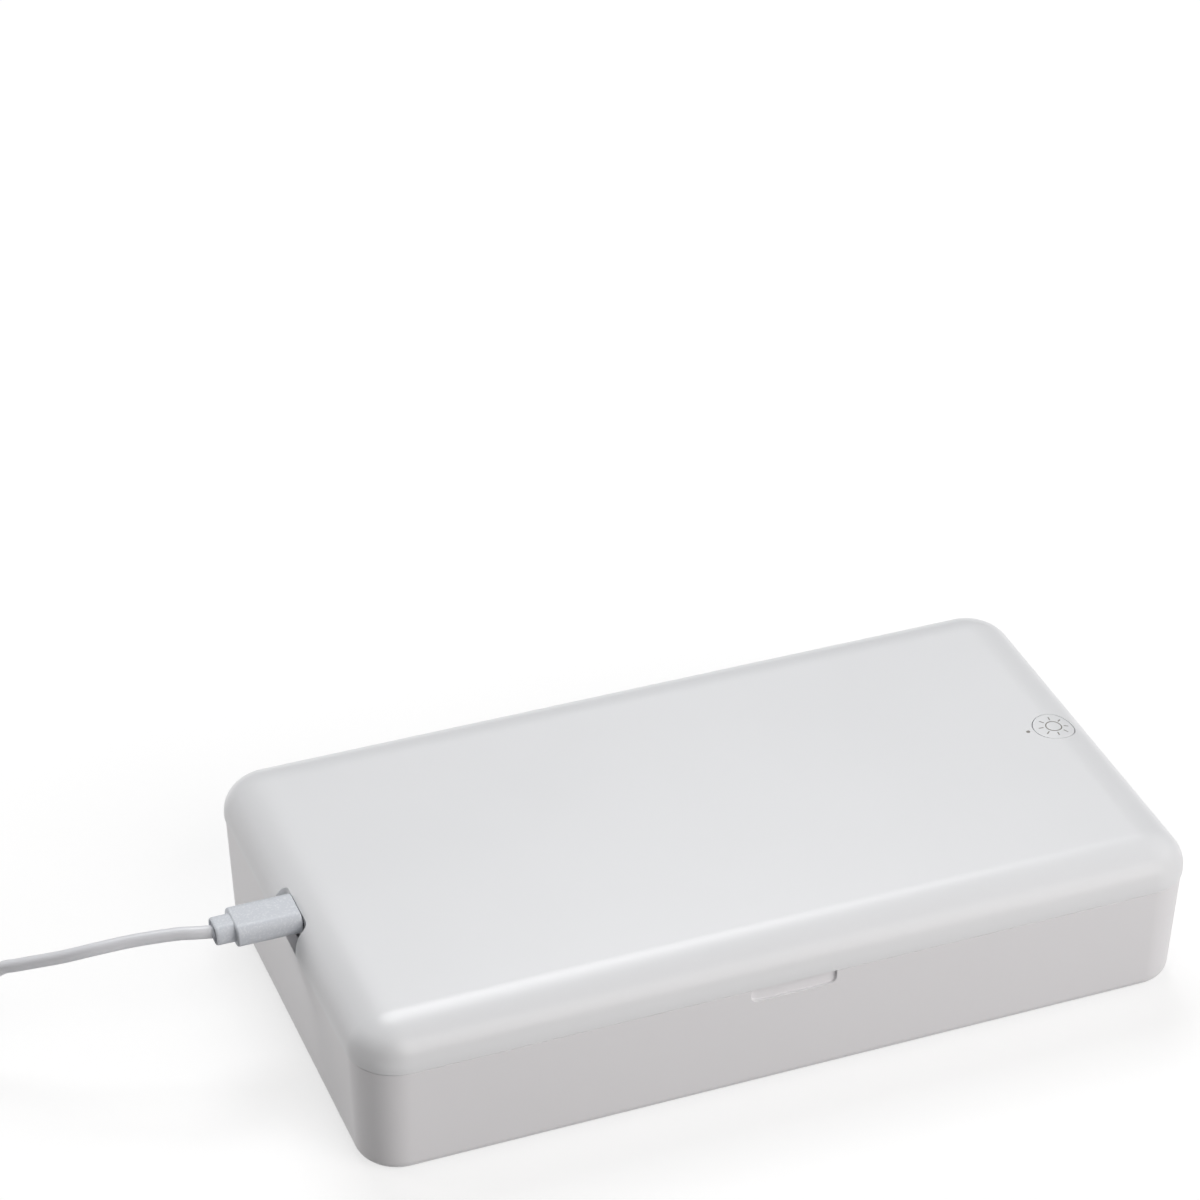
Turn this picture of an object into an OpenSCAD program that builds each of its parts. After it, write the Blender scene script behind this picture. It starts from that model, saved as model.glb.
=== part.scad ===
// Ultraviolet sanitizer box for small hand-held devices: a deep tray and a
// lift-off domed lid that holds the lamps, the board, the charging port and
// the push button. Millimetres. X runs along the box with the port at -X,
// the front is -Y, Z is up and the floor is at Z = 0.

/* [Box] */
// Length of the lid, the longest size of the box
box_l = 192; // [170:1:240]
// Width of the lid
box_w = 106.2; // [90:0.2:150]
// Corner radius of the lid seen from above
corner_r = 10.8; // [9:0.2:16]
// Height of the tray from its underside to its rim
base_h = 27; // [22:0.5:45]
// Height of the lid above the rim of the tray
lid_h = 9.2; // [8.6:0.2:14]

/* [Tray] */
// How far the tray's rim stands in from the lid's edge
rim_inset = 0.3; // [0:0.1:0.6]
// Width of the tray's flat rim
wall_t = 2.4; // [1.8:0.1:3]
// Thickness of the tray's floor
floor_t = 2.2; // [1.6:0.1:4]
// Slope of the tray's walls, millimetres inward for each one down
draft = 0.044; // [0.01:0.002:0.06]
// Radius of the lower outside edge
bottom_r = 2.6; // [1.5:0.1:4]
// Radius of the fillet where the walls meet the floor inside
floor_fillet = 6.2; // [3:0.1:6.2]
// Length of a finger recess under the rim
recess_l = 19.5; // [12:0.5:30]
// Height of a finger recess
recess_h = 3.2; // [1.5:0.1:4]
// Radius of a finger recess's lower corners
recess_r = 1.4; // [0.8:0.1:1.4]
// Depth of a finger recess
recess_d = 0.8; // [0.4:0.1:1.2]

/* [Feet] */
// Diameter of a foot pad
foot_d = 8; // [6:0.5:12]
// Thickness of a foot pad
foot_t = 1; // [0.8:0.1:1.6]
// Height of a foot pad that stands proud of the tray
foot_h = 0.5; // [0.3:0.1:0.7]
// Distance of the foot pads' centres from the ends and the sides
foot_in = 16; // [12:0.5:24]

/* [Interlock] */
// Width of the shelf on the tray's wall, across the box
shelf_w = 18; // [16:0.5:20]
// Reach of the shelf from the wall's top edge
shelf_l = 7.8; // [7:0.1:9]
// Thickness of the shelf
shelf_t = 3; // [2:0.1:5]
// Depth of the shelf's top under the rim
shelf_drop = 2.5; // [2.3:0.1:3.5]
// Distance of the key and the switch from the port end of the lid
key_in = 8.4; // [8.2:0.1:8.8]
// Length of the key on the shelf
key_l = 3; // [2:0.1:3.4]
// Width of the key
key_w = 1.8; // [1.2:0.1:2.4]
// Height of the key above the shelf
key_rise = 2; // [1.9:0.1:2.1]
// Gap between the key and the sides of its slot
slot_gap = 0.3; // [0.2:0.05:0.4]
// Free height between the key and the switch plunger
key_gap = 0.3; // [0.2:0.05:0.6]
// Diameter of the switch plunger
plunger_d = 1.4; // [1:0.1:1.6]
// Height that the plunger shows under the switch
plunger_out = 1.4; // [1.2:0.1:1.5]
// Gap between the plunger and its hole
plunger_gap = 0.15; // [0.05:0.05:0.2]
// Depth of the plunger's hole in the switch
plunger_seat = 1; // [0.9:0.1:1.1]
// Length of the switch over the key
switch_l = 4.4; // [3.8:0.1:5]
// Width of that switch
switch_w = 3.6; // [3:0.1:4.4]

/* [Lid shell] */
// Thickness of the dome
dome_t = 1.8; // [1.4:0.1:2.2]
// Height of the straight edge under the dome's curve
lid_side = 1.2; // [0.8:0.1:2]
// Width of the rim of the lid
land_w = 1.3; // [1:0.1:1.6]
// Height of the rebate that takes the inner cover
rebate_h = 2.2; // [2:0.1:2.6]
// Width of the port notch at its inner wall
notch_w = 15.6; // [13.5:0.2:18]
// Depth of the port notch from the end of the lid
notch_d = 3.3; // [2.8:0.1:3.6]
// Radius of the rounded flanks of the notch
notch_r = 1.8; // [1.4:0.1:2]
// Thickness of the wall behind the notch
notch_t = 1.6; // [1.2:0.1:1.8]
// Length of a snap ledge on the long sides
ledge_l = 11; // [6:0.5:14]
// Spacing of the snap ledges along the long sides
ledge_pitch = 36.5; // [30:0.5:38]

/* [Inner cover] */
// Thickness of the cover plate
plate_t = 1.8; // [1.5:0.1:2]
// Distance of the lip's outside from the lid's edge
lip_in = 3.6; // [3.3:0.1:4.2]
// Thickness of the lip
lip_t = 1.3; // [1:0.1:1.8]
// Depth of the lip under the rim
lip_h = 5; // [3:0.1:8]
// Width of the gap in the lip beside the port
lip_gap = 20; // [18:0.5:24]
// Depth of the groove between the rim and the lip
groove_d = 1; // [0.6:0.1:1.2]
// Width of the raised pad over the switch
pad_w = 20; // [18:0.5:22]
// Distance of the pad's inner edge from the port end of the lid
pad_in = 13.6; // [13.2:0.2:18]
// Height of the raised pad
pad_h = 1.8; // [1:0.1:2]
// Distance of the pad's two square holes from its middle
pad_hole_y = 4.5; // [3.5:0.1:6]
// Length of a square hole along the box
pad_hole_l = 2.4; // [1.6:0.1:3]
// Width of a square hole across the box
pad_hole_w = 3; // [2:0.1:3.4]
// Gap between the cover and the shell
cover_gap = 0.2; // [0.1:0.05:0.3]
// Corner radius of the pad and of the shelf
pad_r = 2.5; // [1:0.1:4]

/* [Lamps] */
// Number of lamps in the row
lamp_n = 4; // [2:2:6]
// Spacing of the lamps
lamp_pitch = 34.8; // [20:0.2:36]
// Size of a lamp package
lamp_s = 3.5; // [3:0.1:4]
// Height of a lamp package
lamp_h = 0.8; // [0.5:0.1:1]
// Size of a window's mouth
window_s = 6.2; // [5.2:0.2:9]
// Depth of a window's sloped mouth
window_d = 1; // [0.6:0.1:1.2]
// Diameter of the quartz lens on an ultraviolet lamp
lens_d = 2.2; // [1.6:0.1:2.6]
// Width of the lamp board
lamp_board_w = 10; // [8:0.5:16]

/* [Boards] */
// Thickness of the boards
board_t = 0.8; // [0.6:0.1:1]
// Height of the bosses under the main board
boss_h = 1; // [0.8:0.1:1.2]
// Length of the main board
board_l = 27; // [26:0.5:29]
// Width of the main board
board_w = 30; // [28:0.5:40]
// Length of the button's board
small_board_l = 16; // [15:0.5:20]
// Width of the button's board
small_board_w = 14; // [12:0.5:20]
// Diameter of a boss
boss_d = 4; // [3.2:0.1:5]
// Distance of the boss and screw centres from a board's edge
screw_in = 2.5; // [2.2:0.1:3]
// Diameter of a board screw's head
screw_head_d = 3.4; // [2.8:0.1:4]
// Height of a board screw's head
screw_head_h = 0.7; // [0.4:0.1:1]
// Diameter of a board screw
screw_d = 1.5; // [1:0.1:1.8]
// Gap between a screw and its hole in a boss
screw_gap = 0.05; // [0.03:0.01:0.1]
// Depth of a screw below the board
screw_l = 1; // [0.6:0.1:1.1]
// Diameter of the wires between the boards
wire_d = 1; // [0.6:0.1:1.2]
// Spacing of the two wires
wire_pitch = 1.6; // [1.3:0.1:2]
// Distance of the first wire behind the middle where it lies on the plate
wire_lane = 12; // [11:0.5:14]
// Run of a wire between a board and the plate
wire_lead = 10; // [8:0.5:12]

/* [Port] */
// Width of the port's metal shell
port_w = 9; // [8.9:0.05:9.4]
// Height of the port's metal shell
port_h = 3.2; // [3.1:0.05:3.3]
// Length of the port
port_l = 7.3; // [6.9:0.1:8]
// Wall of the port's metal shell
port_t = 0.25; // [0.2:0.05:0.3]
// Thickness of the wall at the back of the port
port_back = 0.5; // [0.4:0.1:0.6]
// Length of the tongue in the port
tongue_l = 4.5; // [4:0.1:4.8]
// Width of the tongue
tongue_w = 6.7; // [6.2:0.1:6.8]
// Thickness of the tongue
tongue_t = 0.7; // [0.6:0.05:0.8]
// Gap between the port and its hole in the notch wall
port_gap = 0.15; // [0.1:0.05:0.3]

/* [Button] */
// Diameter of the button
button_d = 9.6; // [8:0.2:10]
// Distance of the button's centre from the far end of the lid
button_in = 9.8; // [9.4:0.1:12]
// Gap between the button and the lid
button_gap = 0.15; // [0.15:0.05:0.3]
// Size of the switch under the button
tact_s = 6; // [4.5:0.1:6.2]
// Height of the switch under the button
tact_h = 1.6; // [1.2:0.1:1.7]
// Diameter of that switch's actuator
act_d = 3; // [2:0.1:4]
// Height of that switch's actuator
act_h = 0.3; // [0.2:0.05:0.4]
// Travel of the button
button_travel = 0.5; // [0.3:0.05:0.6]
// Diameter of the button's flange under the lid
flange_d = 11.6; // [10.6:0.2:11.8]
// Thickness of the button's flange
flange_t = 0.7; // [0.5:0.1:0.9]
// Radius of the circle in the sun mark
sun_r = 1.8; // [1.4:0.05:2.4]
// Number of rays of the sun mark
sun_rays = 8; // [6:1:12]
// Length of a ray
sun_ray_l = 1.15; // [0.5:0.05:1.2]
// Gap between the circle's middle line and a ray
sun_ray_gap = 0.65; // [0.4:0.05:0.8]
// Turn of the mark in degrees
sun_turn = -5; // [-22:1:22]
// Depth of the mark's grooves
sun_depth = 0.15; // [0.1:0.05:0.2]
// Distance of the indicator from the button's centre
pipe_off = 6.4; // [6.3:0.1:8]
// Diameter of the indicator's light pipe
pipe_d = 0.9; // [0.7:0.1:1.2]

/* [Cable] */
// Width of the plug's moulding
plug_w = 10.3; // [9.6:0.1:12]
// Height of the plug's moulding
plug_h = 5.3; // [5:0.1:6]
// Length of the plug's moulding
plug_l = 14.4; // [12:0.2:20]
// Gap between the plug's moulding and the notch wall
plug_gap = 0.3; // [0.2:0.1:0.6]
// Width of the plug's metal shell
tip_w = 8.25; // [8.1:0.05:8.3]
// Height of the plug's metal shell
tip_h = 2.4; // [2.3:0.05:2.5]
// Length of the plug's metal shell
tip_l = 6.4; // [5.5:0.1:6.6]
// Width of the strain relief collar
collar_w = 6.8; // [5:0.1:8]
// Height of the strain relief collar
collar_h = 4.7; // [4.4:0.1:5.2]
// Length of the strain relief collar
collar_l = 4.1; // [3:0.1:6]
// Diameter of the cord
cord_d = 2.9; // [2.6:0.1:3.4]
// Mean diameter of the coil
coil_d = 34; // [30:1:40]
// Number of turns in the coil
coil_turns = 8; // [5:1:12]
// Width of the far plug's moulding
far_w = 15.6; // [14:0.2:18]
// Height of the far plug's moulding
far_h = 7.6; // [6.6:0.2:9]
// Length of the far plug's moulding
far_l = 20; // [16:0.5:26]

/* [Hidden] */
$fn = 64;
eps = 0.01;

half_l = box_l / 2;
half_w = box_w / 2;
rim_z = foot_h + base_h;
top_z = rim_z + lid_h;
rim_u = corner_r - rim_inset;
slope_a = atan(draft);

// The dome's curve: a tight arc over the edge, then a wide one to the top
s60 = sin(60);
arc_z = rim_z + lid_side;
arc_run = corner_r - 0.05;
arc_a = (lid_h - lid_side - 2 * arc_run * (1 - s60)) / (2 * s60 - 1);
arc_b = 2 * arc_run - arc_a;
join_u = corner_r - arc_a / 2;
join_z = arc_z + s60 * arc_a;

plate_top = rim_z + plate_t;
board_z = plate_top + boss_h;
board_top = board_z + board_t;
port_z = board_top + port_h / 2;
port_face_x = -half_l + notch_d;
wall_back_x = port_face_x + notch_t;
port_x = port_face_x + 0.1;
key_x = -half_l + key_in;
shelf_top = rim_z - shelf_drop;
key_top = shelf_top + key_rise;
tip_z = key_top + key_gap;
switch_z = tip_z + plunger_out;
button_x = half_l - button_in;
small_board_x = button_x + tact_s / 2 + 1.6 - small_board_l;
small_top = plate_top + board_t;
act_top = small_top + tact_h + act_h;
cap_z = act_top + button_travel + 0.05;
led_h = 0.6;
line_w = 0.3;
flange_gap = 0.1;
flange_top = cap_z + flange_t;
pipe_x = button_x - pipe_off;
main_x = wall_back_x + 0.2;
front_x = port_face_x - plug_gap;
plug_back_x = front_x - plug_l;
cord_x = plug_back_x - collar_l;
cord_r = cord_d / 2;

// Height of the dome over a distance u from the corner axis
function dome_z(u) = u > join_u ? arc_z + sqrt(max(arc_a * arc_a - pow(u - corner_r + arc_a, 2), 0))
    : join_z - s60 * arc_b + sqrt(arc_b * arc_b - pow(u - 0.05, 2));

// The coil, its tie and the far plug lie on the floor beside the box
coil_x = -188;
coil_y = 42;
coil_cols = 4;
coil_rows = ceil(coil_turns / coil_cols);
coil_out = coil_d / 2 + coil_cols / 2 * cord_d;
coil_h = coil_rows * cord_d;
floor_gap = 0.05;
cord_z = cord_r + floor_gap;
tail_x = coil_x - coil_out + cord_r;
tail_z = coil_h - cord_r + floor_gap;
far_x = coil_x - 4;
far_y = coil_y + 46;
far_z = far_h / 2;
far_shell_l = 12;

// Points of the cord from the collar down to the front of the coil
cord_end_y = coil_y - coil_out - cord_r - 0.3;
route = [[cord_x, 0, port_z], [-115.5, 0.9, 32.8], [-119.5, 2.3, 32.5], [-128, 4.6, 31.4],
    [-136.2, 6.4, 30], [-142.5, 8.8, 28], [-151, 13.2, 25], [-154.4, 15.2, 23.4],
    [-160, 16.9, 18.8], [-167, 17.6, 11], [-175, cord_end_y, 4.6], [-182, cord_end_y, 2],
    [coil_x, cord_end_y, cord_z]];
tail = [[tail_x, coil_y, tail_z], [tail_x - 0.3, coil_y + 6, tail_z - 0.1],
    [tail_x + 0.2, coil_y + 13, 3.2], [tail_x + 2.8, coil_y + 21, 2.1],
    [tail_x + 7.8, coil_y + 29, 2.3], [far_x - 3.4, coil_y + 35.5, 3.3],
    [far_x, coil_y + 41, far_z], [far_x, far_y, far_z]];

// One profile, drawn outward from the corner axis, carried around the box
module around() {
    cx = half_l - corner_r;
    cy = half_w - corner_r;
    for (q = [[1, 1, 0], [-1, 1, 90], [-1, -1, 180], [1, -1, 270]])
        translate([q[0] * cx, q[1] * cy, 0])
            rotate([0, 0, q[2]])
                rotate_extrude(angle = 90)
                    children();
    for (s = [0, 1])
        mirror([s, 0, 0])
            translate([cx, cy, 0])
                rotate([90, 0, 0])
                    linear_extrude(2 * cy)
                        children();
    for (s = [0, 1])
        mirror([0, s, 0])
            translate([-cx, cy, 0])
                rotate([90, 0, 90])
                    linear_extrude(2 * cx)
                        children();
}

// The middle of the box between the corner axes
module middle(z0, z1) {
    translate([-half_l + corner_r, -half_w + corner_r, z0])
        cube([box_l - 2 * corner_r, box_w - 2 * corner_r, z1 - z0]);
}

module dome_profile(inset) {
    ra = arc_a - inset;
    rb = arc_b - inset;
    ju = corner_r - arc_a + ra / 2;
    bz = join_z - s60 * arc_b;
    translate([0, rim_z])
        square([corner_r - inset, arc_z - rim_z]);
    intersection() {
        translate([corner_r - arc_a, arc_z])
            circle(ra);
        translate([ju, arc_z])
            square([corner_r, lid_h]);
    }
    intersection() {
        translate([0.05, bz])
            circle(rb);
        translate([0, arc_z])
            square([ju, lid_h]);
    }
}

module dome(inset) {
    around()
        dome_profile(inset);
    middle(rim_z, top_z - inset);
}

// The part of the dome that lies at one end of the box
module end_dome(side, width, inset) {
    mirror([side < 0 ? 1 : 0, 0, 0])
        translate([half_l - corner_r, width / 2, 0])
            rotate([90, 0, 0])
                linear_extrude(width) {
                    dome_profile(inset);
                    translate([-corner_r, rim_z])
                        square([corner_r + eps, lid_h - inset]);
                }
}

// A wall line that leans in by the draft and turns into an arc at its foot
module wall_profile(u_rim, z_low, r) {
    u_low = u_rim - draft * (rim_z - z_low);
    cu = u_low + draft * r - r / cos(slope_a);
    cz = z_low + r;
    polygon([[0, cz], [cu, cz], [cu + r * cos(slope_a), cz - r * sin(slope_a)], [u_rim, rim_z], [0, rim_z]]);
    intersection() {
        translate([cu, cz])
            circle(r);
        translate([cu, z_low])
            square([r + 1, r + 1]);
    }
    translate([0, z_low])
        square([cu, r + eps]);
}

// A box with a round-ended section, along X from x0
module stadium(x0, length, width, height) {
    translate([x0, 0, 0])
        rotate([90, 0, 90])
            linear_extrude(length) {
                square([width - height, height], center = true);
                for (s = [-1, 1])
                    translate([s * (width - height) / 2, 0])
                        circle(height / 2);
            }
}

// A rectangle with rounded corners, centred
module rounded(a, b, r) {
    square([a - 2 * r, b], center = true);
    square([a, b - 2 * r], center = true);
    for (i = [-1, 1], j = [-1, 1])
        translate([i * (a / 2 - r), j * (b / 2 - r)])
            circle(r);
}

module finger_recess(angle, reach) {
    rotate([0, 0, angle])
        translate([0, -reach + recess_d, rim_z])
            rotate([90, 0, 0])
                linear_extrude(recess_d + 1) {
                    translate([-recess_l / 2, -recess_h + recess_r])
                        square([recess_l, recess_h]);
                    translate([-recess_l / 2 + recess_r, -recess_h])
                        square([recess_l - 2 * recess_r, recess_h]);
                    for (s = [-1, 1])
                        translate([s * (recess_l / 2 - recess_r), -recess_h + recess_r])
                            circle(recess_r);
                }
}

module base_tray() color([0.79, 0.78, 0.775]) {
    fillet = min(floor_fillet, rim_u - wall_t - draft * base_h - 0.3);
    difference() {
        union() {
            around()
                wall_profile(rim_u, foot_h, bottom_r);
            middle(foot_h, rim_z);
        }
        difference() {
            union() {
                around()
                    union() {
                        wall_profile(rim_u - wall_t, foot_h + floor_t, fillet);
                        translate([0, rim_z - eps])
                            square([rim_u - wall_t, 1]);
                    }
                middle(foot_h + floor_t, rim_z + 1);
            }
            shelf();
        }
        finger_recess(0, half_w - rim_inset);
        finger_recess(180, half_w - rim_inset);
        finger_recess(90, half_l - rim_inset);
        foot_places(foot_d + 0.2, foot_t);
    }
}

// The shelf that carries the key, cut to the tray's cavity by base_tray
module shelf() {
    edge = -half_l + rim_inset + wall_t + shelf_l;
    translate([-half_l, 0, shelf_top - shelf_t])
        linear_extrude(shelf_t) {
            translate([0, -shelf_w / 2])
                square([edge + half_l - pad_r, shelf_w]);
            translate([0, -shelf_w / 2 + pad_r])
                square([edge + half_l, shelf_w - 2 * pad_r]);
            for (s = [-1, 1])
                translate([edge + half_l - pad_r, s * (shelf_w / 2 - pad_r)])
                    circle(pad_r);
        }
    translate([key_x - key_l / 2, -key_w / 2, shelf_top - 1])
        cube([key_l, key_w, key_rise + 1]);
}

module foot_places(d, top) {
    for (i = [-1, 1], j = [-1, 1])
        translate([i * (half_l - foot_in), j * (half_w - foot_in), 0])
            cylinder(d = d, h = top);
}

module foot_pads() color([0.72, 0.72, 0.72])
    foot_places(foot_d, foot_t);

function arc(x, y, r, from, to) = [for (i = [0 : 8])
    let (a = from + (to - from) * i / 8) [x + r * cos(a), y + r * sin(a)]];

// One side of the port notch: straight inner wall, then a flank that rounds
// off and, on the cut itself, flares out to the lid's side
function notch_side(grow, flare) =
    let (w = notch_w / 2 + grow, d = notch_d + grow)
    concat(arc(d - notch_r, w - notch_r, notch_r, 0, 90),
        flare ? arc(d - notch_r, w + notch_r, notch_r, -90, -180) : [],
        flare ? [[-1, w + notch_r]] : [[-1, w]]);

module notch_plan(grow, flare) {
    side = notch_side(grow, flare);
    polygon(concat(side, [for (i = [len(side) - 1 : -1 : 0]) [side[i][0], -side[i][1]]]));
}

module ledge(length) {
    translate([-length / 2, -1.1, rim_z + 0.3])
        cube([length, 1.1, groove_d - 0.3]);
}

module ledges() {
    n = floor((half_l - corner_r - ledge_l / 2) / ledge_pitch);
    for (i = [-n : n], s = [0, 1])
        mirror([0, s, 0])
            translate([i * ledge_pitch, half_w - land_w + 0.4, 0])
                ledge(ledge_l);
    for (j = [-1, 1], s = [0, 1])
        mirror([s, 0, 0])
            translate([half_l - land_w + 0.4, j * half_w / 2, 0])
                rotate([0, 0, -90])
                    ledge(ledge_l);
}

module lid_shell() color([0.87, 0.875, 0.88]) {
    difference() {
        union() {
            difference() {
                dome(0);
                translate([0, 0, -eps])
                    dome(dome_t);
                around()
                    translate([0, rim_z - 1])
                        square([corner_r - land_w, rebate_h + 1]);
                middle(rim_z - 1, rim_z + rebate_h);
            }
            intersection() {
                end_dome(-1, notch_w + 12, 0);
                translate([-half_l, 0, rim_z])
                    linear_extrude(lid_h)
                        notch_plan(notch_t, false);
            }
            intersection() {
                end_dome(1, flange_d + 4, dome_t / 2);
                translate([button_x, 0, flange_top + flange_gap])
                    cylinder(d = flange_d + 1.6, h = lid_h);
            }
            ledges();
        }
        translate([-half_l, 0, rim_z - 1])
            linear_extrude(lid_h + 2)
                notch_plan(0, true);
        translate([0, 0, port_z])
            stadium(port_face_x - 1, port_l + 2.4, port_w + 2 * port_gap, port_h + 2 * port_gap);
        translate([button_x, 0, rim_z])
            cylinder(d = button_d + 2 * button_gap, h = lid_h + 1);
        translate([button_x, 0, flange_top + flange_gap - lid_h])
            cylinder(d = flange_d + 0.6, h = lid_h);
        translate([pipe_x, 0, rim_z])
            cylinder(d = pipe_d + 0.1, h = lid_h + 1);
    }
}

// Square hole with a sloped mouth, cut upward from z
module window() {
    hole = lamp_s + 0.3;
    intersection() {
        rotate([90, 0, 0])
            linear_extrude(window_s + 1, center = true)
                window_side(hole);
        rotate([90, 0, 90])
            linear_extrude(window_s + 1, center = true)
                window_side(hole);
    }
}

module window_side(hole) {
    step = (window_s - hole) / 2;
    polygon([[-window_s / 2 - step, -window_d], [window_s / 2 + step, -window_d], [hole / 2, window_d],
        [hole / 2, plate_t + 1], [-hole / 2, plate_t + 1], [-hole / 2, window_d]]);
}

module pad_plan() {
    inner = -half_l + pad_in;
    outer = wall_back_x + cover_gap;
    translate([outer, -pad_w / 2])
        square([inner - outer - pad_r, pad_w]);
    translate([outer, -pad_w / 2 + pad_r])
        square([inner - outer, pad_w - 2 * pad_r]);
    for (s = [-1, 1])
        translate([inner - pad_r, s * (pad_w / 2 - pad_r)])
            circle(pad_r);
}

module inner_cover() color([0.91, 0.92, 0.925]) {
    difference() {
        union() {
            around()
                union() {
                    translate([0, rim_z])
                        square([corner_r - lip_in, plate_t]);
                    translate([0, rim_z + groove_d])
                        square([corner_r - land_w - cover_gap, plate_t - groove_d]);
                    translate([corner_r - lip_in - lip_t, rim_z - lip_h])
                        square([lip_t, lip_h + eps]);
                }
            middle(rim_z, plate_top);
            translate([0, 0, rim_z - pad_h])
                linear_extrude(pad_h + eps)
                    pad_plan();
            for (p = boss_points())
                translate([p[0], p[1], plate_top - eps])
                    cylinder(d = boss_d, h = boss_h + eps);
        }
        translate([-half_l - 1, -lip_gap / 2, rim_z - lip_h - 1])
            cube([1 + notch_d + notch_t + cover_gap, lip_gap, lip_h + plate_t + 2]);
        for (i = [0 : lamp_n - 1])
            translate([(i - (lamp_n - 1) / 2) * lamp_pitch, 0, rim_z])
                window();
        translate([key_x, 0, rim_z - pad_h - 1])
            linear_extrude(pad_h + plate_t + 2)
                square([key_l + 2 * slot_gap, key_w + 2 * slot_gap], center = true);
        translate([key_x - switch_l / 2 - slot_gap, -switch_w / 2 - slot_gap, switch_z - slot_gap])
            cube([switch_l + 2 * slot_gap, switch_w + 2 * slot_gap, plate_t + 1]);
        for (s = [-1, 1])
            translate([key_x - pad_hole_l / 2, s * pad_hole_y - pad_hole_w / 2, rim_z - pad_h - 1])
                cube([pad_hole_l, pad_hole_w, pad_h + plate_t + 2]);
        for (p = screw_points())
            translate([p[0], p[1], p[2] - board_t - screw_l - screw_gap])
                cylinder(d = screw_d + 2 * screw_gap, h = screw_l + 1);
    }
}

// Screws of the main board stand in bosses, behind the port
function boss_points() = [for (x = [port_x + port_l + 2 * boss_d, main_x + board_l - screw_in], s = [-1, 1])
    [x, s * (board_w / 2 - screw_in)]];

function button_screws() = [for (s = [-1, 1])
    [small_board_x + screw_in, s * (small_board_w / 2 - screw_in)]];

function screw_points() = concat(
    [for (p = boss_points()) [p[0], p[1], board_top]],
    [for (p = button_screws()) [p[0], p[1], small_top]]);

module lamp_board() color([0.93, 0.93, 0.92])
    translate([-((lamp_n - 1) * lamp_pitch + 10) / 2, -lamp_board_w / 2, plate_top])
        cube([(lamp_n - 1) * lamp_pitch + 10, lamp_board_w, board_t]);

// Lamps numbered from the port end; the outer ones give hard ultraviolet
module lamp_row(outer) {
    for (i = [0 : lamp_n - 1])
        if ((i == 0 || i == lamp_n - 1) == outer)
            translate([(i - (lamp_n - 1) / 2) * lamp_pitch, 0, plate_top])
                children();
}

module lamp_package() {
    translate([-lamp_s / 2, -lamp_s / 2, -lamp_h])
        cube([lamp_s, lamp_s, lamp_h]);
}

module uvc_lamps() color([0.85, 0.66, 0.25])
    lamp_row(true)
        lamp_package();

module uvc_lenses() color([0.95, 0.93, 0.85])
    lamp_row(true)
        translate([0, 0, -lamp_h])
            intersection() {
                translate([0, 0, 0.35])
                    sphere(lens_d / 2);
                translate([0, 0, -lens_d])
                    cylinder(d = lens_d + 1, h = lens_d);
            }

module uva_lamps() color([0.93, 0.93, 0.9])
    lamp_row(false)
        lamp_package();

module main_board() color([0.1, 0.35, 0.22])
    difference() {
        translate([main_x, -board_w / 2, board_z])
            cube([board_l, board_w, board_t]);
        for (p = boss_points())
            translate([p[0], p[1], board_z - 1])
                cylinder(d = screw_d + 0.4, h = board_t + 2);
    }

module board_screws() color([0.75, 0.75, 0.77])
    for (p = screw_points())
        translate(p) {
            cylinder(d = screw_head_d, h = screw_head_h);
            translate([0, 0, -board_t - screw_l])
                cylinder(d = screw_d, h = board_t + screw_l + eps);
        }

module controller_chip() color([0.12, 0.12, 0.13])
    translate([main_x + 14, -7, board_top])
        cube([6, 6, 1]);

module power_inductor() color([0.2, 0.2, 0.21])
    translate([main_x + 13, 2.5, board_top])
        cube([5, 5, 2.2]);

module lamp_driver() color([0.12, 0.12, 0.13])
    translate([main_x + 21, -3, board_top])
        cube([3, 3, 0.9]);

module board_capacitors() color([0.7, 0.6, 0.45])
    for (i = [0 : 3])
        translate([main_x + 20, 2.2 + i * 2.1, board_top])
            cube([1.6, 0.9, 0.8]);

module port_shell() color([0.78, 0.78, 0.8])
    translate([0, 0, port_z])
        difference() {
            stadium(port_x, port_l, port_w, port_h);
            stadium(port_x - 1, port_l + 1 - port_back, port_w - 2 * port_t, port_h - 2 * port_t);
        }

module port_tongue() color([0.13, 0.13, 0.14])
    translate([port_x + port_l - port_back - tongue_l, -tongue_w / 2, port_z - tongue_t / 2])
        cube([tongue_l, tongue_w, tongue_t]);

module switch_body() color([0.15, 0.15, 0.16])
    difference() {
        translate([key_x - switch_l / 2, -switch_w / 2, switch_z])
            cube([switch_l, switch_w, board_z - switch_z]);
        translate([key_x, 0, switch_z - 1])
            cylinder(d = plunger_d + 2 * plunger_gap, h = 1 + plunger_seat);
    }

module switch_plunger() color([0.8, 0.8, 0.82])
    translate([key_x, 0, tip_z])
        cylinder(d = plunger_d, h = plunger_out + 0.1);

module button_board() color([0.1, 0.35, 0.22])
    difference() {
        translate([small_board_x, -small_board_w / 2, plate_top])
            cube([small_board_l, small_board_w, board_t]);
        for (p = button_screws())
            translate([p[0], p[1], plate_top - 1])
                cylinder(d = screw_d + 0.4, h = board_t + 2);
    }

module tact_switch() color([0.8, 0.8, 0.82])
    translate([button_x - tact_s / 2, -tact_s / 2, small_top])
        cube([tact_s, tact_s, tact_h]);

module tact_actuator() color([0.15, 0.15, 0.16])
    translate([button_x, 0, small_top + tact_h])
        cylinder(d = act_d, h = act_h);

module indicator_lamp() color([0.95, 0.94, 0.8])
    translate([pipe_x - 0.8, -0.5, small_top])
        cube([1.6, 1, led_h]);

module light_pipe() color([0.92, 0.94, 0.95])
    translate([pipe_x, 0, small_top + led_h])
        cylinder(d = pipe_d, h = top_z - 0.1 - small_top - led_h);

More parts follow.
